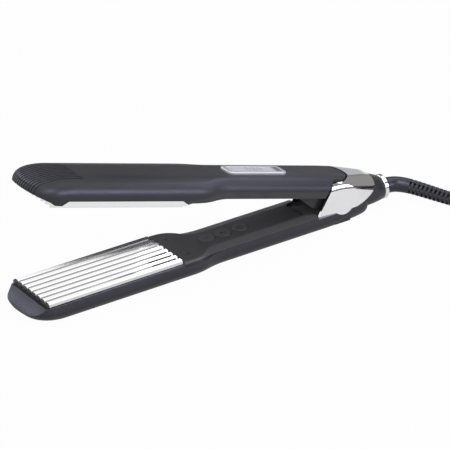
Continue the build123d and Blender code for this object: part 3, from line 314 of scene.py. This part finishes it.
# ================================================================ node helpers
class Graph:
    """Adds nodes to a tree and feeds their sockets with values or with other sockets."""

    def __init__(self, tree):
        self.tree = tree
        self.count = 0

    def node(self, kind, feeds=None, **settings):
        made = self.tree.nodes.new(kind)
        made.location = (220 * (self.count % 8), -260 * (self.count // 8))
        self.count += 1
        for name, value in settings.items():
            setattr(made, name, value)
        for socket, value in (feeds or {}).items():
            self.feed(made.inputs[socket], value)
        return made

    def feed(self, socket, value):
        if isinstance(value, bpy.types.NodeSocket):
            self.tree.links.new(value, socket)
        else:
            socket.default_value = value

    def math(self, operation, *values):
        return self.node("ShaderNodeMath", dict(enumerate(values)), operation=operation).outputs[0]

    def vector(self, operation, *values):
        made = self.node("ShaderNodeVectorMath", dict(enumerate(values)), operation=operation)
        return made.outputs["Vector"]

    def combine(self, *values):
        return self.node("ShaderNodeCombineXYZ", dict(enumerate(values))).outputs["Vector"]

    def mix(self, factor, first, second):
        made = self.node("ShaderNodeMix", data_type="RGBA")
        for name, value in (("Factor_Float", factor), ("A_Color", first), ("B_Color", second)):
            self.feed(next(s for s in made.inputs if s.identifier == name), value)
        return next(s for s in made.outputs if s.identifier == "Result_Color")

    def ramp(self, value, low, high, to_low=0.0, to_high=1.0):
        feeds = {"Value": value, "From Min": low, "From Max": high, "To Min": to_low, "To Max": to_high}
        return self.node("ShaderNodeMapRange", feeds).outputs["Result"]


def node_group(name, kind, inputs, outputs):
    """Empty node group with named sockets: its graph, its inputs and its end."""
    tree = bpy.data.node_groups.new(name, kind)
    for in_out, sockets in (("INPUT", inputs), ("OUTPUT", outputs)):
        for title, socket in sockets.items():
            tree.interface.new_socket(title, in_out=in_out, socket_type="NodeSocket" + socket)
    graph = Graph(tree)
    return graph, graph.node("NodeGroupInput").outputs, graph.node("NodeGroupOutput")


def place_group(graph, name, **feeds):
    made = graph.node("ShaderNodeGroup", node_tree=bpy.data.node_groups[name])
    for socket, value in feeds.items():
        graph.feed(made.inputs[socket.replace("_", " ")], value)
    return made


def colour(rgb, gain=1.0):
    return (*(channel * gain for channel in rgb[:3]), 1.0)


def moulded_grain():
    """Fine moulded texture with a slow mottle, for plastic and rubber."""
    graph, given, out = node_group(
        "moulded_grain", "ShaderNodeTree",
        {"Grain Size": "Float", "Mottle Size": "Float"},
        {"Height": "Float", "Mottle": "Float"})
    place = graph.node("ShaderNodeTexCoord").outputs["Object"]
    for size, detail, result in (("Grain Size", 2.0, "Height"), ("Mottle Size", 3.0, "Mottle")):
        scale = graph.math("DIVIDE", 1.0, given[size])
        noise = graph.node("ShaderNodeTexNoise", {"Vector": place, "Scale": scale, "Detail": detail})
        graph.feed(out.inputs[result], noise.outputs["Fac"])


def arm_side():
    """Height out of an arm and the slight crown of its moulded side."""
    graph, given, out = node_group(
        "arm_side", "ShaderNodeTree",
        {"Out": "Vector", "Start": "Float", "Middle": "Float", "Half": "Float"},
        {"Height": "Float", "Crown": "Float"})
    place = graph.node("ShaderNodeTexCoord").outputs["Object"]
    along = graph.node("ShaderNodeVectorMath", {0: place, 1: given["Out"]}, operation="DOT_PRODUCT")
    height = graph.math("SUBTRACT", along.outputs["Value"], given["Start"])
    aside = graph.math("DIVIDE", graph.math("SUBTRACT", height, given["Middle"]), given["Half"])
    aside = graph.math("MINIMUM", 1.0, graph.math("ABSOLUTE", aside))
    crown = graph.math("SUBTRACT", 1.0, graph.math("MULTIPLY", aside, aside))
    graph.feed(out.inputs["Height"], height)
    graph.feed(out.inputs["Crown"], crown)


def side_feeds(frame_of_arm, middle=0.0, half=1.0, axis=(0, 0, 1)):
    """Inputs of the arm_side group for one arm, along an axis of its frame."""
    out = frame_of_arm.to_3x3() @ Vector(axis)
    return {"Out": out, "Start": out.dot(frame_of_arm.translation), "Middle": middle, "Half": half}


# ================================================================ materials
def new_material(name, slot_colour, metallic=0.0, roughness=0.5, **sockets):
    """Material with a Principled shader whose constants are set on its own sockets."""
    made = bpy.data.materials.new(name)
    made.use_nodes = True
    made.node_tree.nodes.clear()
    graph = Graph(made.node_tree)
    shader = graph.node("ShaderNodeBsdfPrincipled", {
        "Base Color": colour(slot_colour), "Metallic": metallic, "Roughness": roughness})
    for socket, value in sockets.items():
        shader.inputs[socket.replace("_", " ")].default_value = value
    out = graph.node("ShaderNodeOutputMaterial")
    graph.feed(out.inputs["Surface"], shader.outputs["BSDF"])
    return made, graph, shader


def paint_light_band(graph, face, base, light_band):
    """Colour with painted lighting in a band: a lighter or darker tone of its base up to the band's start,
    which fades from it by the band's end.
    """
    height = place_group(graph, "arm_side", **light_band.feeds).outputs["Height"]
    return graph.mix(graph.ramp(height, light_band.start, light_band.end), colour(base, light_band.gain), face)


def moulded(name, base, roughness, depth=GRAIN_DEPTH, swing=0.08, crown=None, light_bands=(), **sockets):
    """Moulded plastic or rubber with fine grain, drifting gloss and colour, and painted light and shade in
    its bands.
    """
    made, graph, shader = new_material(name, base, roughness=roughness, **sockets)
    texture = place_group(graph, "moulded_grain", Grain_Size=GRAIN_SIZE, Mottle_Size=PLASTIC_MOTTLE)
    mottle = texture.outputs["Mottle"]
    gloss = graph.ramp(mottle, *MOTTLE_RANGE, roughness - swing, roughness + swing)
    graph.feed(shader.inputs["Roughness"], gloss)
    face = graph.mix(mottle, *(colour(base, gain) for gain in PLASTIC_TONES))
    for light_band in light_bands:
        face = paint_light_band(graph, face, base, light_band)
    graph.feed(shader.inputs["Base Color"], face)
    height = graph.math("MULTIPLY", texture.outputs["Height"], depth)
    if crown:
        feeds, rise = crown
        arch = place_group(graph, "arm_side", **feeds).outputs["Crown"]
        height = graph.math("ADD", height, graph.math("MULTIPLY", arch, rise))
    bump = graph.node("ShaderNodeBump", {"Height": height, "Distance": 1.0, "Strength": 1.0})
    graph.feed(shader.inputs["Normal"], bump.outputs["Normal"])
    return made


def polished(name, base, roughness, swing=0.03, metallic=1.0, valley_shade=None):
    """Plated or polished metal whose gloss drifts a little, with painted shade down in its valleys."""
    made, graph, shader = new_material(name, base, metallic=metallic, roughness=roughness)
    mottle = place_group(graph, "moulded_grain", Mottle_Size=METAL_MOTTLE).outputs["Mottle"]
    graph.feed(shader.inputs["Roughness"], graph.ramp(mottle, *MOTTLE_RANGE, roughness, roughness + swing))
    face = graph.mix(mottle, *(colour(base, gain) for gain in METAL_TONES))
    if valley_shade:
        face = paint_light_band(graph, face, base, valley_shade)
    graph.feed(shader.inputs["Base Color"], face)
    return made


def glow(graph, tint, strength):
    """Plain light of one colour."""
    return graph.node("ShaderNodeEmission", {"Color": colour(tint), "Strength": strength}).outputs["Emission"]


def wear(material, *names):
    """Gives CAD nodes a material."""
    for name in names:
        slots = nodes[name].data.materials
        slots.clear()
        slots.append(material)


# ================================================================ meshes and curves
def nurbs(name, points):
    """Smooth open curve with the points as its control points."""
    data = bpy.data.curves.new(name, "CURVE")
    data.dimensions = "3D"
    spline = data.splines.new("NURBS")
    spline.points.add(len(points) - 1)
    for point, place in zip(spline.points, points):
        point.co = (*place, 1.0)
    spline.order_u = 3
    spline.use_endpoint_u = True
    spline.resolution_u = 8
    made = bpy.data.objects.new(name, data)
    bpy.context.scene.collection.objects.link(made)
    return made


def geometry_tree(name, inputs):
    """Empty geometry tree with named inputs: its graph, its inputs and its end."""
    return node_group(name, "GeometryNodeTree", inputs, {"Geometry": "Geometry"})


def close_tree(graph, out, material, *parts):
    """Joins a tree's parts, realizes them and gives them their material."""
    joined = graph.node("GeometryNodeJoinGeometry")
    for part in parts:
        graph.feed(joined.inputs["Geometry"], part)
    real = graph.node("GeometryNodeRealizeInstances", {"Geometry": joined.outputs["Geometry"]})
    painted = graph.node("GeometryNodeSetMaterial", {
        "Geometry": real.outputs["Geometry"], "Material": material})
    graph.feed(out.inputs["Geometry"], painted.outputs["Geometry"])


def grow(name, tree, body, slot, points=(), **values):
    """Runs a geometry tree on loose points and keeps its result as a plain mesh on a body."""
    mesh = bpy.data.meshes.new(name + "_points")
    mesh.from_pydata([tuple(point) for point in points], [], [])
    host = bpy.data.objects.new(name + "_points", mesh)
    bpy.context.scene.collection.objects.link(host)
    modifier = host.modifiers.new(name, "NODES")
    modifier.node_group = tree
    for item in tree.interface.items_tree:
        title = item.name.replace(" ", "_")
        if item.in_out == "INPUT" and title in values:
            modifier[item.identifier] = values[title]
    grown = bpy.data.meshes.new_from_object(host.evaluated_get(bpy.context.evaluated_depsgraph_get()))
    host.modifiers.remove(modifier)
    bpy.data.objects.remove(host)
    return keep_mesh(name, grown, body)


def keep_mesh(name, mesh, body):
    """Names a mesh, smooths it up to the crease angle and rides it on a body."""
    if not mesh.polygons:
        raise RuntimeError(name + " came out empty")
    mesh.name = name
    mesh.shade_smooth()
    mesh.set_sharp_from_angle(angle=CREASE_ANGLE)
    made = bpy.data.objects.new(name, mesh)
    bpy.context.scene.collection.objects.link(made)
    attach(made, body)
    return made


def ribbons(name, place, lines, width, thick, material, body):
    """Flat raised marks along lines drawn on a face; place takes them to the face."""
    work = bmesh.new()
    for line in lines:
        line = [Vector((*point, 0.0)) for point in line]
        edges = []
        for i, point in enumerate(line):
            along = (line[min(i + 1, len(line) - 1)] - line[max(i - 1, 0)]).normalized()
            aside = Vector((-along.y, along.x, 0.0)) * width / 2
            edges.append([work.verts.new(place @ (point + side * aside + Vector((0, 0, rise))))
                          for side, rise in ((-1, thick), (1, thick), (1, -thick), (-1, -thick))])
        for first, second in zip(edges, edges[1:]):
            for a in range(4):
                work.faces.new((first[a], first[a - 1], second[a - 1], second[a]))
        work.faces.new(edges[0])
        work.faces.new(reversed(edges[-1]))
    bmesh.ops.recalc_face_normals(work, faces=work.faces)
    mesh = bpy.data.meshes.new(name)
    work.to_mesh(mesh)
    work.free()
    mesh.materials.append(material)
    return keep_mesh(name, mesh, body)


def arc(radius, start, end, count=24):
    """Points on an arc, in degrees."""
    turns = [math.radians(start + (end - start) * i / count) for i in range(count + 1)]
    return [(radius * math.cos(turn), radius * math.sin(turn)) for turn in turns]


def about_coil(radius, turn, height):
    """Point about the middle of the coil, for a turn in radians."""
    return tuple(COIL_CENTRE + Vector((radius * math.cos(turn), radius * math.sin(turn), height)))


# ================================================================ operators
class WAVER_OT_stage(bpy.types.Operator):
    """Set up the floor, the world, the lamps and the camera"""

    bl_idname = "waver.stage"
    bl_label = "Stage"

    def execute(self, context):
        studio = context.scene.waver_studio
        self.floor(context, studio)
        self.world(context, studio)
        self.lamps(context, studio)
        self.cards(context)
        self.camera(context, studio)
        context.scene.view_settings.view_transform = "Standard"
        return {"FINISHED"}

    def floor(self, context, studio):
        made, graph, shader = new_material("floor_paint", studio.floor_colour, roughness=0.9,
                                           Specular_IOR_Level=0.1)
        path = graph.node("ShaderNodeLightPath").outputs
        mirrored = graph.math("MAXIMUM", path["Is Glossy Ray"], path["Is Transmission Ray"])
        share = graph.math("MAXIMUM", graph.math("MULTIPLY", path["Is Camera Ray"], studio.floor_lift),
                           graph.math("MULTIPLY", mirrored, studio.floor_gleam))
        lifted = graph.node("ShaderNodeMixShader", {
            0: share, 1: shader.outputs["BSDF"], 2: glow(graph, (1, 1, 1), 1.0)})
        out = next(node for node in made.node_tree.nodes if node.type == "OUTPUT_MATERIAL")
        graph.feed(out.inputs["Surface"], lifted.outputs["Shader"])
        bpy.ops.mesh.primitive_circle_add(vertices=FLOOR_SIDES, radius=studio.floor_radius, fill_type="NGON")
        floor = context.object
        floor.name = "floor"
        floor.data.materials.append(made)

    def world(self, context, studio):
        world = bpy.data.worlds.new("studio")
        context.scene.world = world
        world.use_nodes = True
        world.node_tree.nodes.clear()
        graph = Graph(world.node_tree)
        path = graph.node("ShaderNodeLightPath").outputs
        seen = graph.math("MAXIMUM", path["Is Camera Ray"],
                          graph.math("MAXIMUM", path["Is Glossy Ray"], path["Is Transmission Ray"]))
        strength = graph.ramp(seen, 0.0, 1.0, studio.world_light, 1.0)
        background = graph.node("ShaderNodeBackground", {"Color": (1, 1, 1, 1), "Strength": strength})
        out = graph.node("ShaderNodeOutputWorld")
        graph.feed(out.inputs["Surface"], background.outputs["Background"])

    def lamps(self, context, studio):
        for name, place, power_share, size_share in STUDIO_LAMPS:
            data = bpy.data.lights.new(name, "AREA")
            data.energy = power_share * studio.key_power
            data.size = size_share * studio.key_size
            lamp = bpy.data.objects.new(name, data)
            lamp.location = place
            lamp.rotation_euler = (LAMP_AIM - Vector(place)).to_track_quat("-Z", "Y").to_euler()
            context.scene.collection.objects.link(lamp)

    def cards(self, context):
        """Cards that only the glossy surfaces see, as in a light tent."""
        for name, corners, tint, strength in STUDIO_CARDS:
            data = bpy.data.materials.new(name)
            data.use_nodes = True
            data.node_tree.nodes.clear()
            graph = Graph(data.node_tree)
            light = glow(graph, tint, strength)
            out = graph.node("ShaderNodeOutputMaterial")
            graph.feed(out.inputs["Surface"], light)
            mesh = bpy.data.meshes.new(name)
            mesh.from_pydata(corners, [], [tuple(range(len(corners)))])
            mesh.materials.append(data)
            card = bpy.data.objects.new(name, mesh)
            context.scene.collection.objects.link(card)
            for ray in ("camera", "diffuse", "transmission", "volume_scatter", "shadow"):
                setattr(card, "visible_" + ray, False)

    def camera(self, context, studio):
        data = bpy.data.cameras.new("camera")
        data.sensor_width = SENSOR_WIDTH
        data.lens = studio.camera_lens
        camera = bpy.data.objects.new("camera", data)
        line = Vector(studio.camera_aim) - Vector(studio.camera_place)
        level = line.to_track_quat("-Z", "Y").to_matrix().to_4x4()
        roll = Matrix.Rotation(studio.camera_roll, 4, "Z")
        camera.matrix_world = Matrix.Translation(studio.camera_place) @ level @ roll
        context.scene.collection.objects.link(camera)
        context.scene.camera = camera


class WAVER_OT_finishes(bpy.types.Operator):
    """Give every moulded, metal and inner piece its finish"""

    bl_idname = "waver.finishes"
    bl_label = "Finishes"

    def execute(self, context):
        finish = context.scene.waver_finish
        moulded_grain()
        arm_side()
        self.casings(finish)
        self.covers(finish)
        self.small_parts(finish)
        self.metals(finish)
        self.inner_parts()
        self.display_parts(finish)
        return {"FINISHED"}

    def casings(self, finish):
        """Casings whose sides swell a little."""
        for arm, feeds, rise in (
            ("lower", side_feeds(LOWER, middle=-7.5 * MM, half=7.0 * MM), 1.4 * MM),
            ("upper", side_feeds(UPPER, middle=7.0 * MM, half=6.0 * MM), 0.8 * MM),
        ):
            casing = moulded(arm + "_casing", finish.shell_colour, roughness=0.42, swing=0.04,
                             crown=(feeds, rise), Specular_IOR_Level=0.30, **BLUISH)
            wear(casing, arm + "_shell")

    def covers(self, finish):
        """Inner covers; the lower one has a painted highlight on its slope, painted light in its shaded well
        and painted shade along its seam.
        """
        # Painted light on the lower cover: a lighter slope, a darker line of shade in the seam's groove, and
        # a lit well in front of the knuckle.
        slope_highlight = PaintedLightBand(side_feeds(LOWER, axis=(0, 0.1, 1)), start=-4.2 * MM, end=-3.75 * MM, gain=1.75)
        seam_shade = PaintedLightBand(side_feeds(LOWER, axis=(0, 0.3, 1)), start=-9.75 * MM, end=-9.6 * MM, gain=0.3)
        well_light = PaintedLightBand(side_feeds(LOWER), start=-5.9 * MM, end=-5.7 * MM, gain=4.5)
        for arm, title, light_bands in (
            ("upper", "inner_cover_plastic", ()),
            ("lower", "lower_cover_plastic", (slope_highlight, seam_shade, well_light)),
        ):
            cover = moulded(title, finish.cover_colour, roughness=0.42, light_bands=light_bands, Specular_IOR_Level=0.20)
            wear(cover, arm + "_cover")

    def small_parts(self, finish):
        rear = moulded("rear_plastic", finish.rear_colour, roughness=0.34, Specular_IOR_Level=0.30)
        button = moulded("button_plastic", finish.button_colour, roughness=0.38, Specular_IOR_Level=0.20)
        rubber = moulded("lead_rubber", finish.rubber_colour, roughness=0.42, Specular_IOR_Level=0.30)
        moulded("relief_rubber", finish.rubber_colour, roughness=0.30, swing=0.04,
                Specular_IOR_Level=0.50, **BLUISH)
        wear(rear, "end_piece", "upper_knuckle", "end_strip", "bumpers", "cord_clamp", "cord_tie")
        wear(button, "minus_button", "mode_button", "power_button")
        wear(rubber, "plug_body", "inner_leads")

    def metals(self, finish):
        # Painted shade in the lower plate's valleys between its ridges.
        valley_shade = PaintedLightBand(side_feeds(LOWER), start=-0.85 * MM, end=-0.45 * MM, gain=0.85)
        lower_plate = polished("lower_plate_metal", finish.plate_colour, roughness=0.03, swing=0.01,
                               valley_shade=valley_shade)
        wear(lower_plate, "lower_plate")
        wear(polished("upper_plate_metal", finish.plate_colour, roughness=0.12), "upper_plate")
        wear(polished("chrome", finish.chrome_colour, roughness=0.03), "hinge_hood", "collar")
        wear(polished("screw_steel", STEEL, roughness=0.25),
             "lower_screws", "upper_screws", "hinge_pin", "torsion_spring", "plug_blades",
             "lower_plate_springs", "upper_plate_springs")

    def inner_parts(self):
        wear(moulded("heater_ceramic", CERAMIC, roughness=0.6),
             "lower_heater", "upper_heater", "lower_carrier", "upper_carrier", "lower_thermistor",
             "upper_thermistor", "thermal_fuse")
        wear(moulded("board_green", BOARD_GREEN, roughness=0.4),
             "control_board", "display_board", "switches", "display_module")

    def display_parts(self, finish):
        """Frame, window with painted shade at its rear end, and the colours of the signs and digits."""
        # Painted shade where the bezel's recessed rear end darkens the lens.
        rear_shade = PaintedLightBand(side_feeds(UPPER, axis=(1, 0, 0)),
                        start=LENS_REAR - 2.5 * MM, end=LENS_REAR - 5.5 * MM, gain=0.30)
        lens = moulded("display_lens_clear", finish.lens_colour, roughness=0.10, depth=0.0, swing=0.01,
                       light_bands=(rear_shade,), Specular_IOR_Level=0.4)
        wear(lens, "display_lens")
        bezel = polished("bezel_silver", finish.bezel_colour, roughness=0.30, metallic=0.35)
        wear(bezel, "display_bezel")
        moulded("mark_dark", SIGN_DARK, roughness=0.5, Specular_IOR_Level=0.1)
        moulded("digit_grey", DIGIT_GREY, roughness=0.4, Specular_IOR_Level=0.2)


class WAVER_OT_lead(bpy.types.Operator):
    """Lay the mains lead, with its coil, from the relief to the plug"""

    bl_idname = "waver.lead"
    bl_label = "Mains Lead"

    def execute(self, context):
        lead = context.scene.waver_lead
        tail = [about_coil(radius, math.radians(angle), height) for angle, radius, height in TAIL_ROUTE]
        cord = nurbs("mains_lead", LEAD_ROUTE + self.coil(lead) + tail)
        cord.data.bevel_depth = lead.diameter / 2
        cord.data.bevel_resolution = 4
        cord.data.materials.append(bpy.data.materials["lead_rubber"])
        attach(cord, "lower_arm")
        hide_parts("cord", "cord_coil", "cord_tail")
        sleeve = self.sleeve(lead)
        return {"FINISHED"}

    def sleeve_tree(self):
        """Relief with a plain root, then rings between rails round a thinner core."""
        graph, given, out = geometry_tree("relief_sleeve", {
            "Route": "Object", "Root Radius": "Float", "Tip Radius": "Float", "Plain Share": "Float",
            "Ring Pitch": "Float", "Ring Thickness": "Float", "Core Share": "Float", "Rails": "Int",
            "Rail Radius": "Float", "Rail Turn": "Float", "Material": "Material"})
        node = graph.node
        route = node("GeometryNodeObjectInfo", {"Object": given["Route"]}).outputs["Geometry"]
        line = node("GeometryNodeResampleCurve", {"Curve": route, "Count": ROUTE_STEPS}).outputs["Curve"]
        factor = node("GeometryNodeSplineParameter").outputs["Factor"]
        radius = graph.ramp(factor, 0.0, 1.0, given["Root Radius"], given["Tip Radius"])
        sized = node("GeometryNodeSetCurveRadius", {"Curve": line, "Radius": radius}).outputs["Curve"]
        local = node("GeometryNodeInputRadius").outputs["Radius"]

        def cut(start, end):
            feeds = {"Curve": sized, "Start": start, "End": end}
            return node("GeometryNodeTrimCurve", feeds, mode="FACTOR").outputs["Curve"]

        def tube(curve, scale, sides):
            ring = node("GeometryNodeCurvePrimitiveCircle", {"Resolution": sides, "Radius": 1.0})
            return node("GeometryNodeCurveToMesh", {
                "Curve": curve, "Profile Curve": ring.outputs["Curve"], "Scale": scale,
                "Fill Caps": True}).outputs["Mesh"]

        ribbed = cut(given["Plain Share"], 1.0)
        core = tube(ribbed, graph.math("MULTIPLY", local, given["Core Share"]), ROUND_SIDES)
        root = tube(cut(0.0, given["Plain Share"]), local, ROUND_SIDES)
        tip = tube(cut(TIP_START, 1.0), local, ROUND_SIDES)
        spots = node("GeometryNodeCurveToPoints", {"Curve": ribbed, "Length": given["Ring Pitch"]},
                     mode="LENGTH").outputs
        disc = node("GeometryNodeMeshCylinder", {"Vertices": ROUND_SIDES, "Radius": 1.0, "Depth": 1.0})
        rings = node("GeometryNodeInstanceOnPoints", {
            "Points": spots["Points"], "Instance": disc.outputs["Mesh"], "Rotation": spots["Rotation"],
            "Scale": graph.combine(local, local, given["Ring Thickness"])}).outputs["Instances"]

        copies = node("GeometryNodeDuplicateElements", {"Geometry": ribbed, "Amount": given["Rails"]},
                      domain="SPLINE").outputs
        step = graph.math("DIVIDE", 2 * math.pi, given["Rails"])
        turn = graph.math("MULTIPLY_ADD", copies["Duplicate Index"], step, given["Rail Turn"])
        tangent = node("GeometryNodeInputTangent").outputs["Tangent"]
        aside = graph.vector("NORMALIZE", graph.vector("CROSS_PRODUCT", (0, 0, 1), tangent))
        above = graph.vector("CROSS_PRODUCT", tangent, aside)
        reach = graph.math("SUBTRACT", local, given["Rail Radius"])
        shifts = []
        for axis, wave in ((aside, "COSINE"), (above, "SINE")):
            feeds = {0: axis, "Scale": graph.math("MULTIPLY", reach, graph.math(wave, turn))}
            shifts.append(node("ShaderNodeVectorMath", feeds, operation="SCALE").outputs["Vector"])
        moved = node("GeometryNodeSetPosition", {
            "Geometry": copies["Geometry"], "Offset": graph.vector("ADD", *shifts)}).outputs["Geometry"]
        rails = tube(moved, given["Rail Radius"], RAIL_SIDES)
        close_tree(graph, out, given["Material"], root, core, tip, rings, rails)
        return graph.tree

    def sleeve(self, lead):
        route = nurbs("relief_route", RELIEF_ROUTE)
        sleeve = grow("relief_sleeve", self.sleeve_tree(), "lower_arm", "cord_black", Route=route,
                      Root_Radius=lead.relief_start, Tip_Radius=lead.relief_end,
                      Plain_Share=lead.plain_share, Ring_Pitch=lead.ring_pitch,
                      Ring_Thickness=lead.ring_thickness, Core_Share=CORE_SHARE, Rails=RAIL_COUNT,
                      Rail_Radius=RAIL_RADIUS, Rail_Turn=RAIL_TURN,
                      Material=bpy.data.materials["relief_rubber"])
        bpy.data.objects.remove(route)
        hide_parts("strain_relief")
        return sleeve

    def coil(self, lead):
        """Three columns of turns in three layers, laid in, out and in again."""
        step = 360.0 / lead.turn_points
        spread = 1.0 / math.cos(math.radians(step / 2))   # a smooth turn runs inside its control points
        points = []
        for (start, column_a, layer_a), (end, column_b, layer_b) in zip(COIL_TURNS, COIL_TURNS[1:]):
            count = round((end - start) / step)
            for i in range(count):
                share = i / count
                column = column_a + share * (column_b - column_a)
                layer = layer_a + share * (layer_b - layer_a)
                radius = lead.coil_radius - lead.diameter * column
                height = lead.coil_rest + lead.diameter / 2 + lead.diameter * layer
                turn = math.radians(COIL_START + start + share * (end - start))
                points.append(about_coil(radius * spread, turn, height))
        return points


class WAVER_OT_markings(bpy.types.Operator):
    """Put the signs on the buttons and the unlit digits on the display"""

    bl_idname = "waver.markings"
    bl_label = "Markings"

    def execute(self, context):
        dark, grey = bpy.data.materials["mark_dark"], bpy.data.materials["digit_grey"]
        for name, lines in self.signs().items():
            place = LOWER @ Matrix.Translation((BUTTON_PLACES[name], 0, BUTTON_FACE))
            ribbons(name + "_mark", place, lines, SIGN_WIDTH, SIGN_RISE, dark, name + "_key")
        middle = (LENS_FRONT + LENS_REAR) / 2
        ribbons("display_digits", UPPER @ Matrix.Translation((middle, 0, LENS_TOP)), self.digits(),
                DIGIT_WIDTH, DIGIT_RISE, grey, "upper_arm")
        return {"FINISHED"}

    def signs(self):
        """A minus, a wave and a power sign."""
        return {
            "minus": [[(-SIGN_HALF, 0), (SIGN_HALF, 0)]],
            "mode": [[(WAVE_STEP * i, WAVE_HEIGHT * math.sin(math.radians(WAVE_TURN * i)))
                      for i in range(-WAVE_REACH, WAVE_REACH + 1)]],
            "power": [arc(SIGN_HALF, *POWER_ARC), [(0, y) for y in POWER_BAR]],
        }

    def digits(self):
        """Seven unlit segments a digit."""
        segments = []
        for i in range(DIGIT_COUNT):
            x = (i - (DIGIT_COUNT - 1) / 2) * DIGIT_STEP
            segments += [[(x - DIGIT_HALF + DIGIT_GAP, y), (x + DIGIT_HALF - DIGIT_GAP, y)]
                         for y in (-2 * DIGIT_HALF, 0, 2 * DIGIT_HALF)]
            segments += [[(x + side, y + DIGIT_GAP), (x + side, y + 2 * DIGIT_HALF - DIGIT_GAP)]
                         for side in (-DIGIT_HALF, DIGIT_HALF) for y in (-2 * DIGIT_HALF, 0)]
        return segments


class WAVER_OT_screws(bpy.types.Operator):
    """Crown the screw heads and cut their cross recesses"""

    bl_idname = "waver.screws"
    bl_label = "Screws"

    def execute(self, context):
        tree = self.screw_tree()
        for arm, arm_place, tilt, places, face, radius in (
            ("lower", LOWER, 0.0, LOWER_SCREWS, LOWER_SCREW_FACE, LOWER_SCREW_RADIUS),
            ("upper", UPPER, OPEN_ANGLE, UPPER_SCREWS, UPPER_SCREW_FACE, UPPER_SCREW_RADIUS),
        ):
            points = [arm_place @ Vector((x, side * y, face)) for x, y in places for side in (-1, 1)]
            grow(arm + "_screw_heads", tree, arm + "_arm", "steel", points=points, Radius=radius,
                 Height=SCREW_RISE, Turn=(math.pi, tilt, 0.0), Material=bpy.data.materials["screw_steel"])
        return {"FINISHED"}

    def screw_tree(self):
        """Crowned heads with a cross recess on the given points."""
        graph, given, out = geometry_tree("cross_screws", {
            "Geometry": "Geometry", "Radius": "Float", "Height": "Float", "Turn": "Vector",
            "Material": "Material"})
        node, radius, height = graph.node, given["Radius"], given["Height"]
        head = node("GeometryNodeMeshCone", {
            "Vertices": SCREW_SIDES, "Radius Top": graph.math("MULTIPLY", radius, SCREW_CROWN),
            "Radius Bottom": radius, "Depth": height}).outputs["Mesh"]
        for x_share, y_share in ((CROSS_LENGTH, CROSS_WIDTH), (CROSS_WIDTH, CROSS_LENGTH)):
            size = graph.combine(graph.math("MULTIPLY", radius, x_share),
                                 graph.math("MULTIPLY", radius, y_share),
                                 graph.math("MULTIPLY", height, CROSS_DEPTH))
            bar = node("GeometryNodeMeshCube", {"Size": size}).outputs["Mesh"]
            bar = node("GeometryNodeTransform", {
                "Geometry": bar, "Translation": graph.combine(0.0, 0.0, height)}).outputs["Geometry"]
            head = node("GeometryNodeMeshBoolean", {"Mesh 1": head, "Mesh 2": bar},
                        operation="DIFFERENCE", solver="EXACT").outputs["Mesh"]
        rotation = node("FunctionNodeEulerToRotation", {"Euler": given["Turn"]}).outputs["Rotation"]
        turned = node("GeometryNodeTransform", {"Geometry": head, "Rotation": rotation}).outputs["Geometry"]
        heads = node("GeometryNodeInstanceOnPoints", {"Points": given["Geometry"], "Instance": turned})
        close_tree(graph, out, given["Material"], heads.outputs["Instances"])
        return graph.tree


class WAVER_PT_panel(bpy.types.Panel):
    """Lists the waver's steps and settings"""

    bl_label = "Hair Waver"
    bl_idname = "WAVER_PT_panel"
    bl_space_type = "VIEW_3D"
    bl_region_type = "UI"
    bl_category = "Hair Waver"

    def draw(self, context):
        for operator in OPERATORS:
            self.layout.operator(operator.bl_idname)
        for name, group in GROUPS.items():
            box = self.layout.box()
            for setting in group.__annotations__:
                box.prop(getattr(context.scene, name), setting)


OPERATORS = (
    WAVER_OT_stage,
    WAVER_OT_finishes,
    WAVER_OT_lead,
    WAVER_OT_markings,
    WAVER_OT_screws,
)


def register():
    for group in GROUPS.values():
        bpy.utils.register_class(group)
    for name, group in GROUPS.items():
        setattr(bpy.types.Scene, name, PointerProperty(type=group))
    for operator in OPERATORS:
        bpy.utils.register_class(operator)
    bpy.utils.register_class(WAVER_PT_panel)


def unregister():
    bpy.utils.unregister_class(WAVER_PT_panel)
    for operator in reversed(OPERATORS):
        bpy.utils.unregister_class(operator)
    for name in GROUPS:
        delattr(bpy.types.Scene, name)
    for group in reversed(GROUPS.values()):
        bpy.utils.unregister_class(group)


def main():
    register()
    bpy.ops.waver.stage()
    bpy.ops.waver.finishes()
    bpy.ops.waver.lead()
    bpy.ops.waver.markings()
    bpy.ops.waver.screws()


if __name__ == "__main__":
    main()
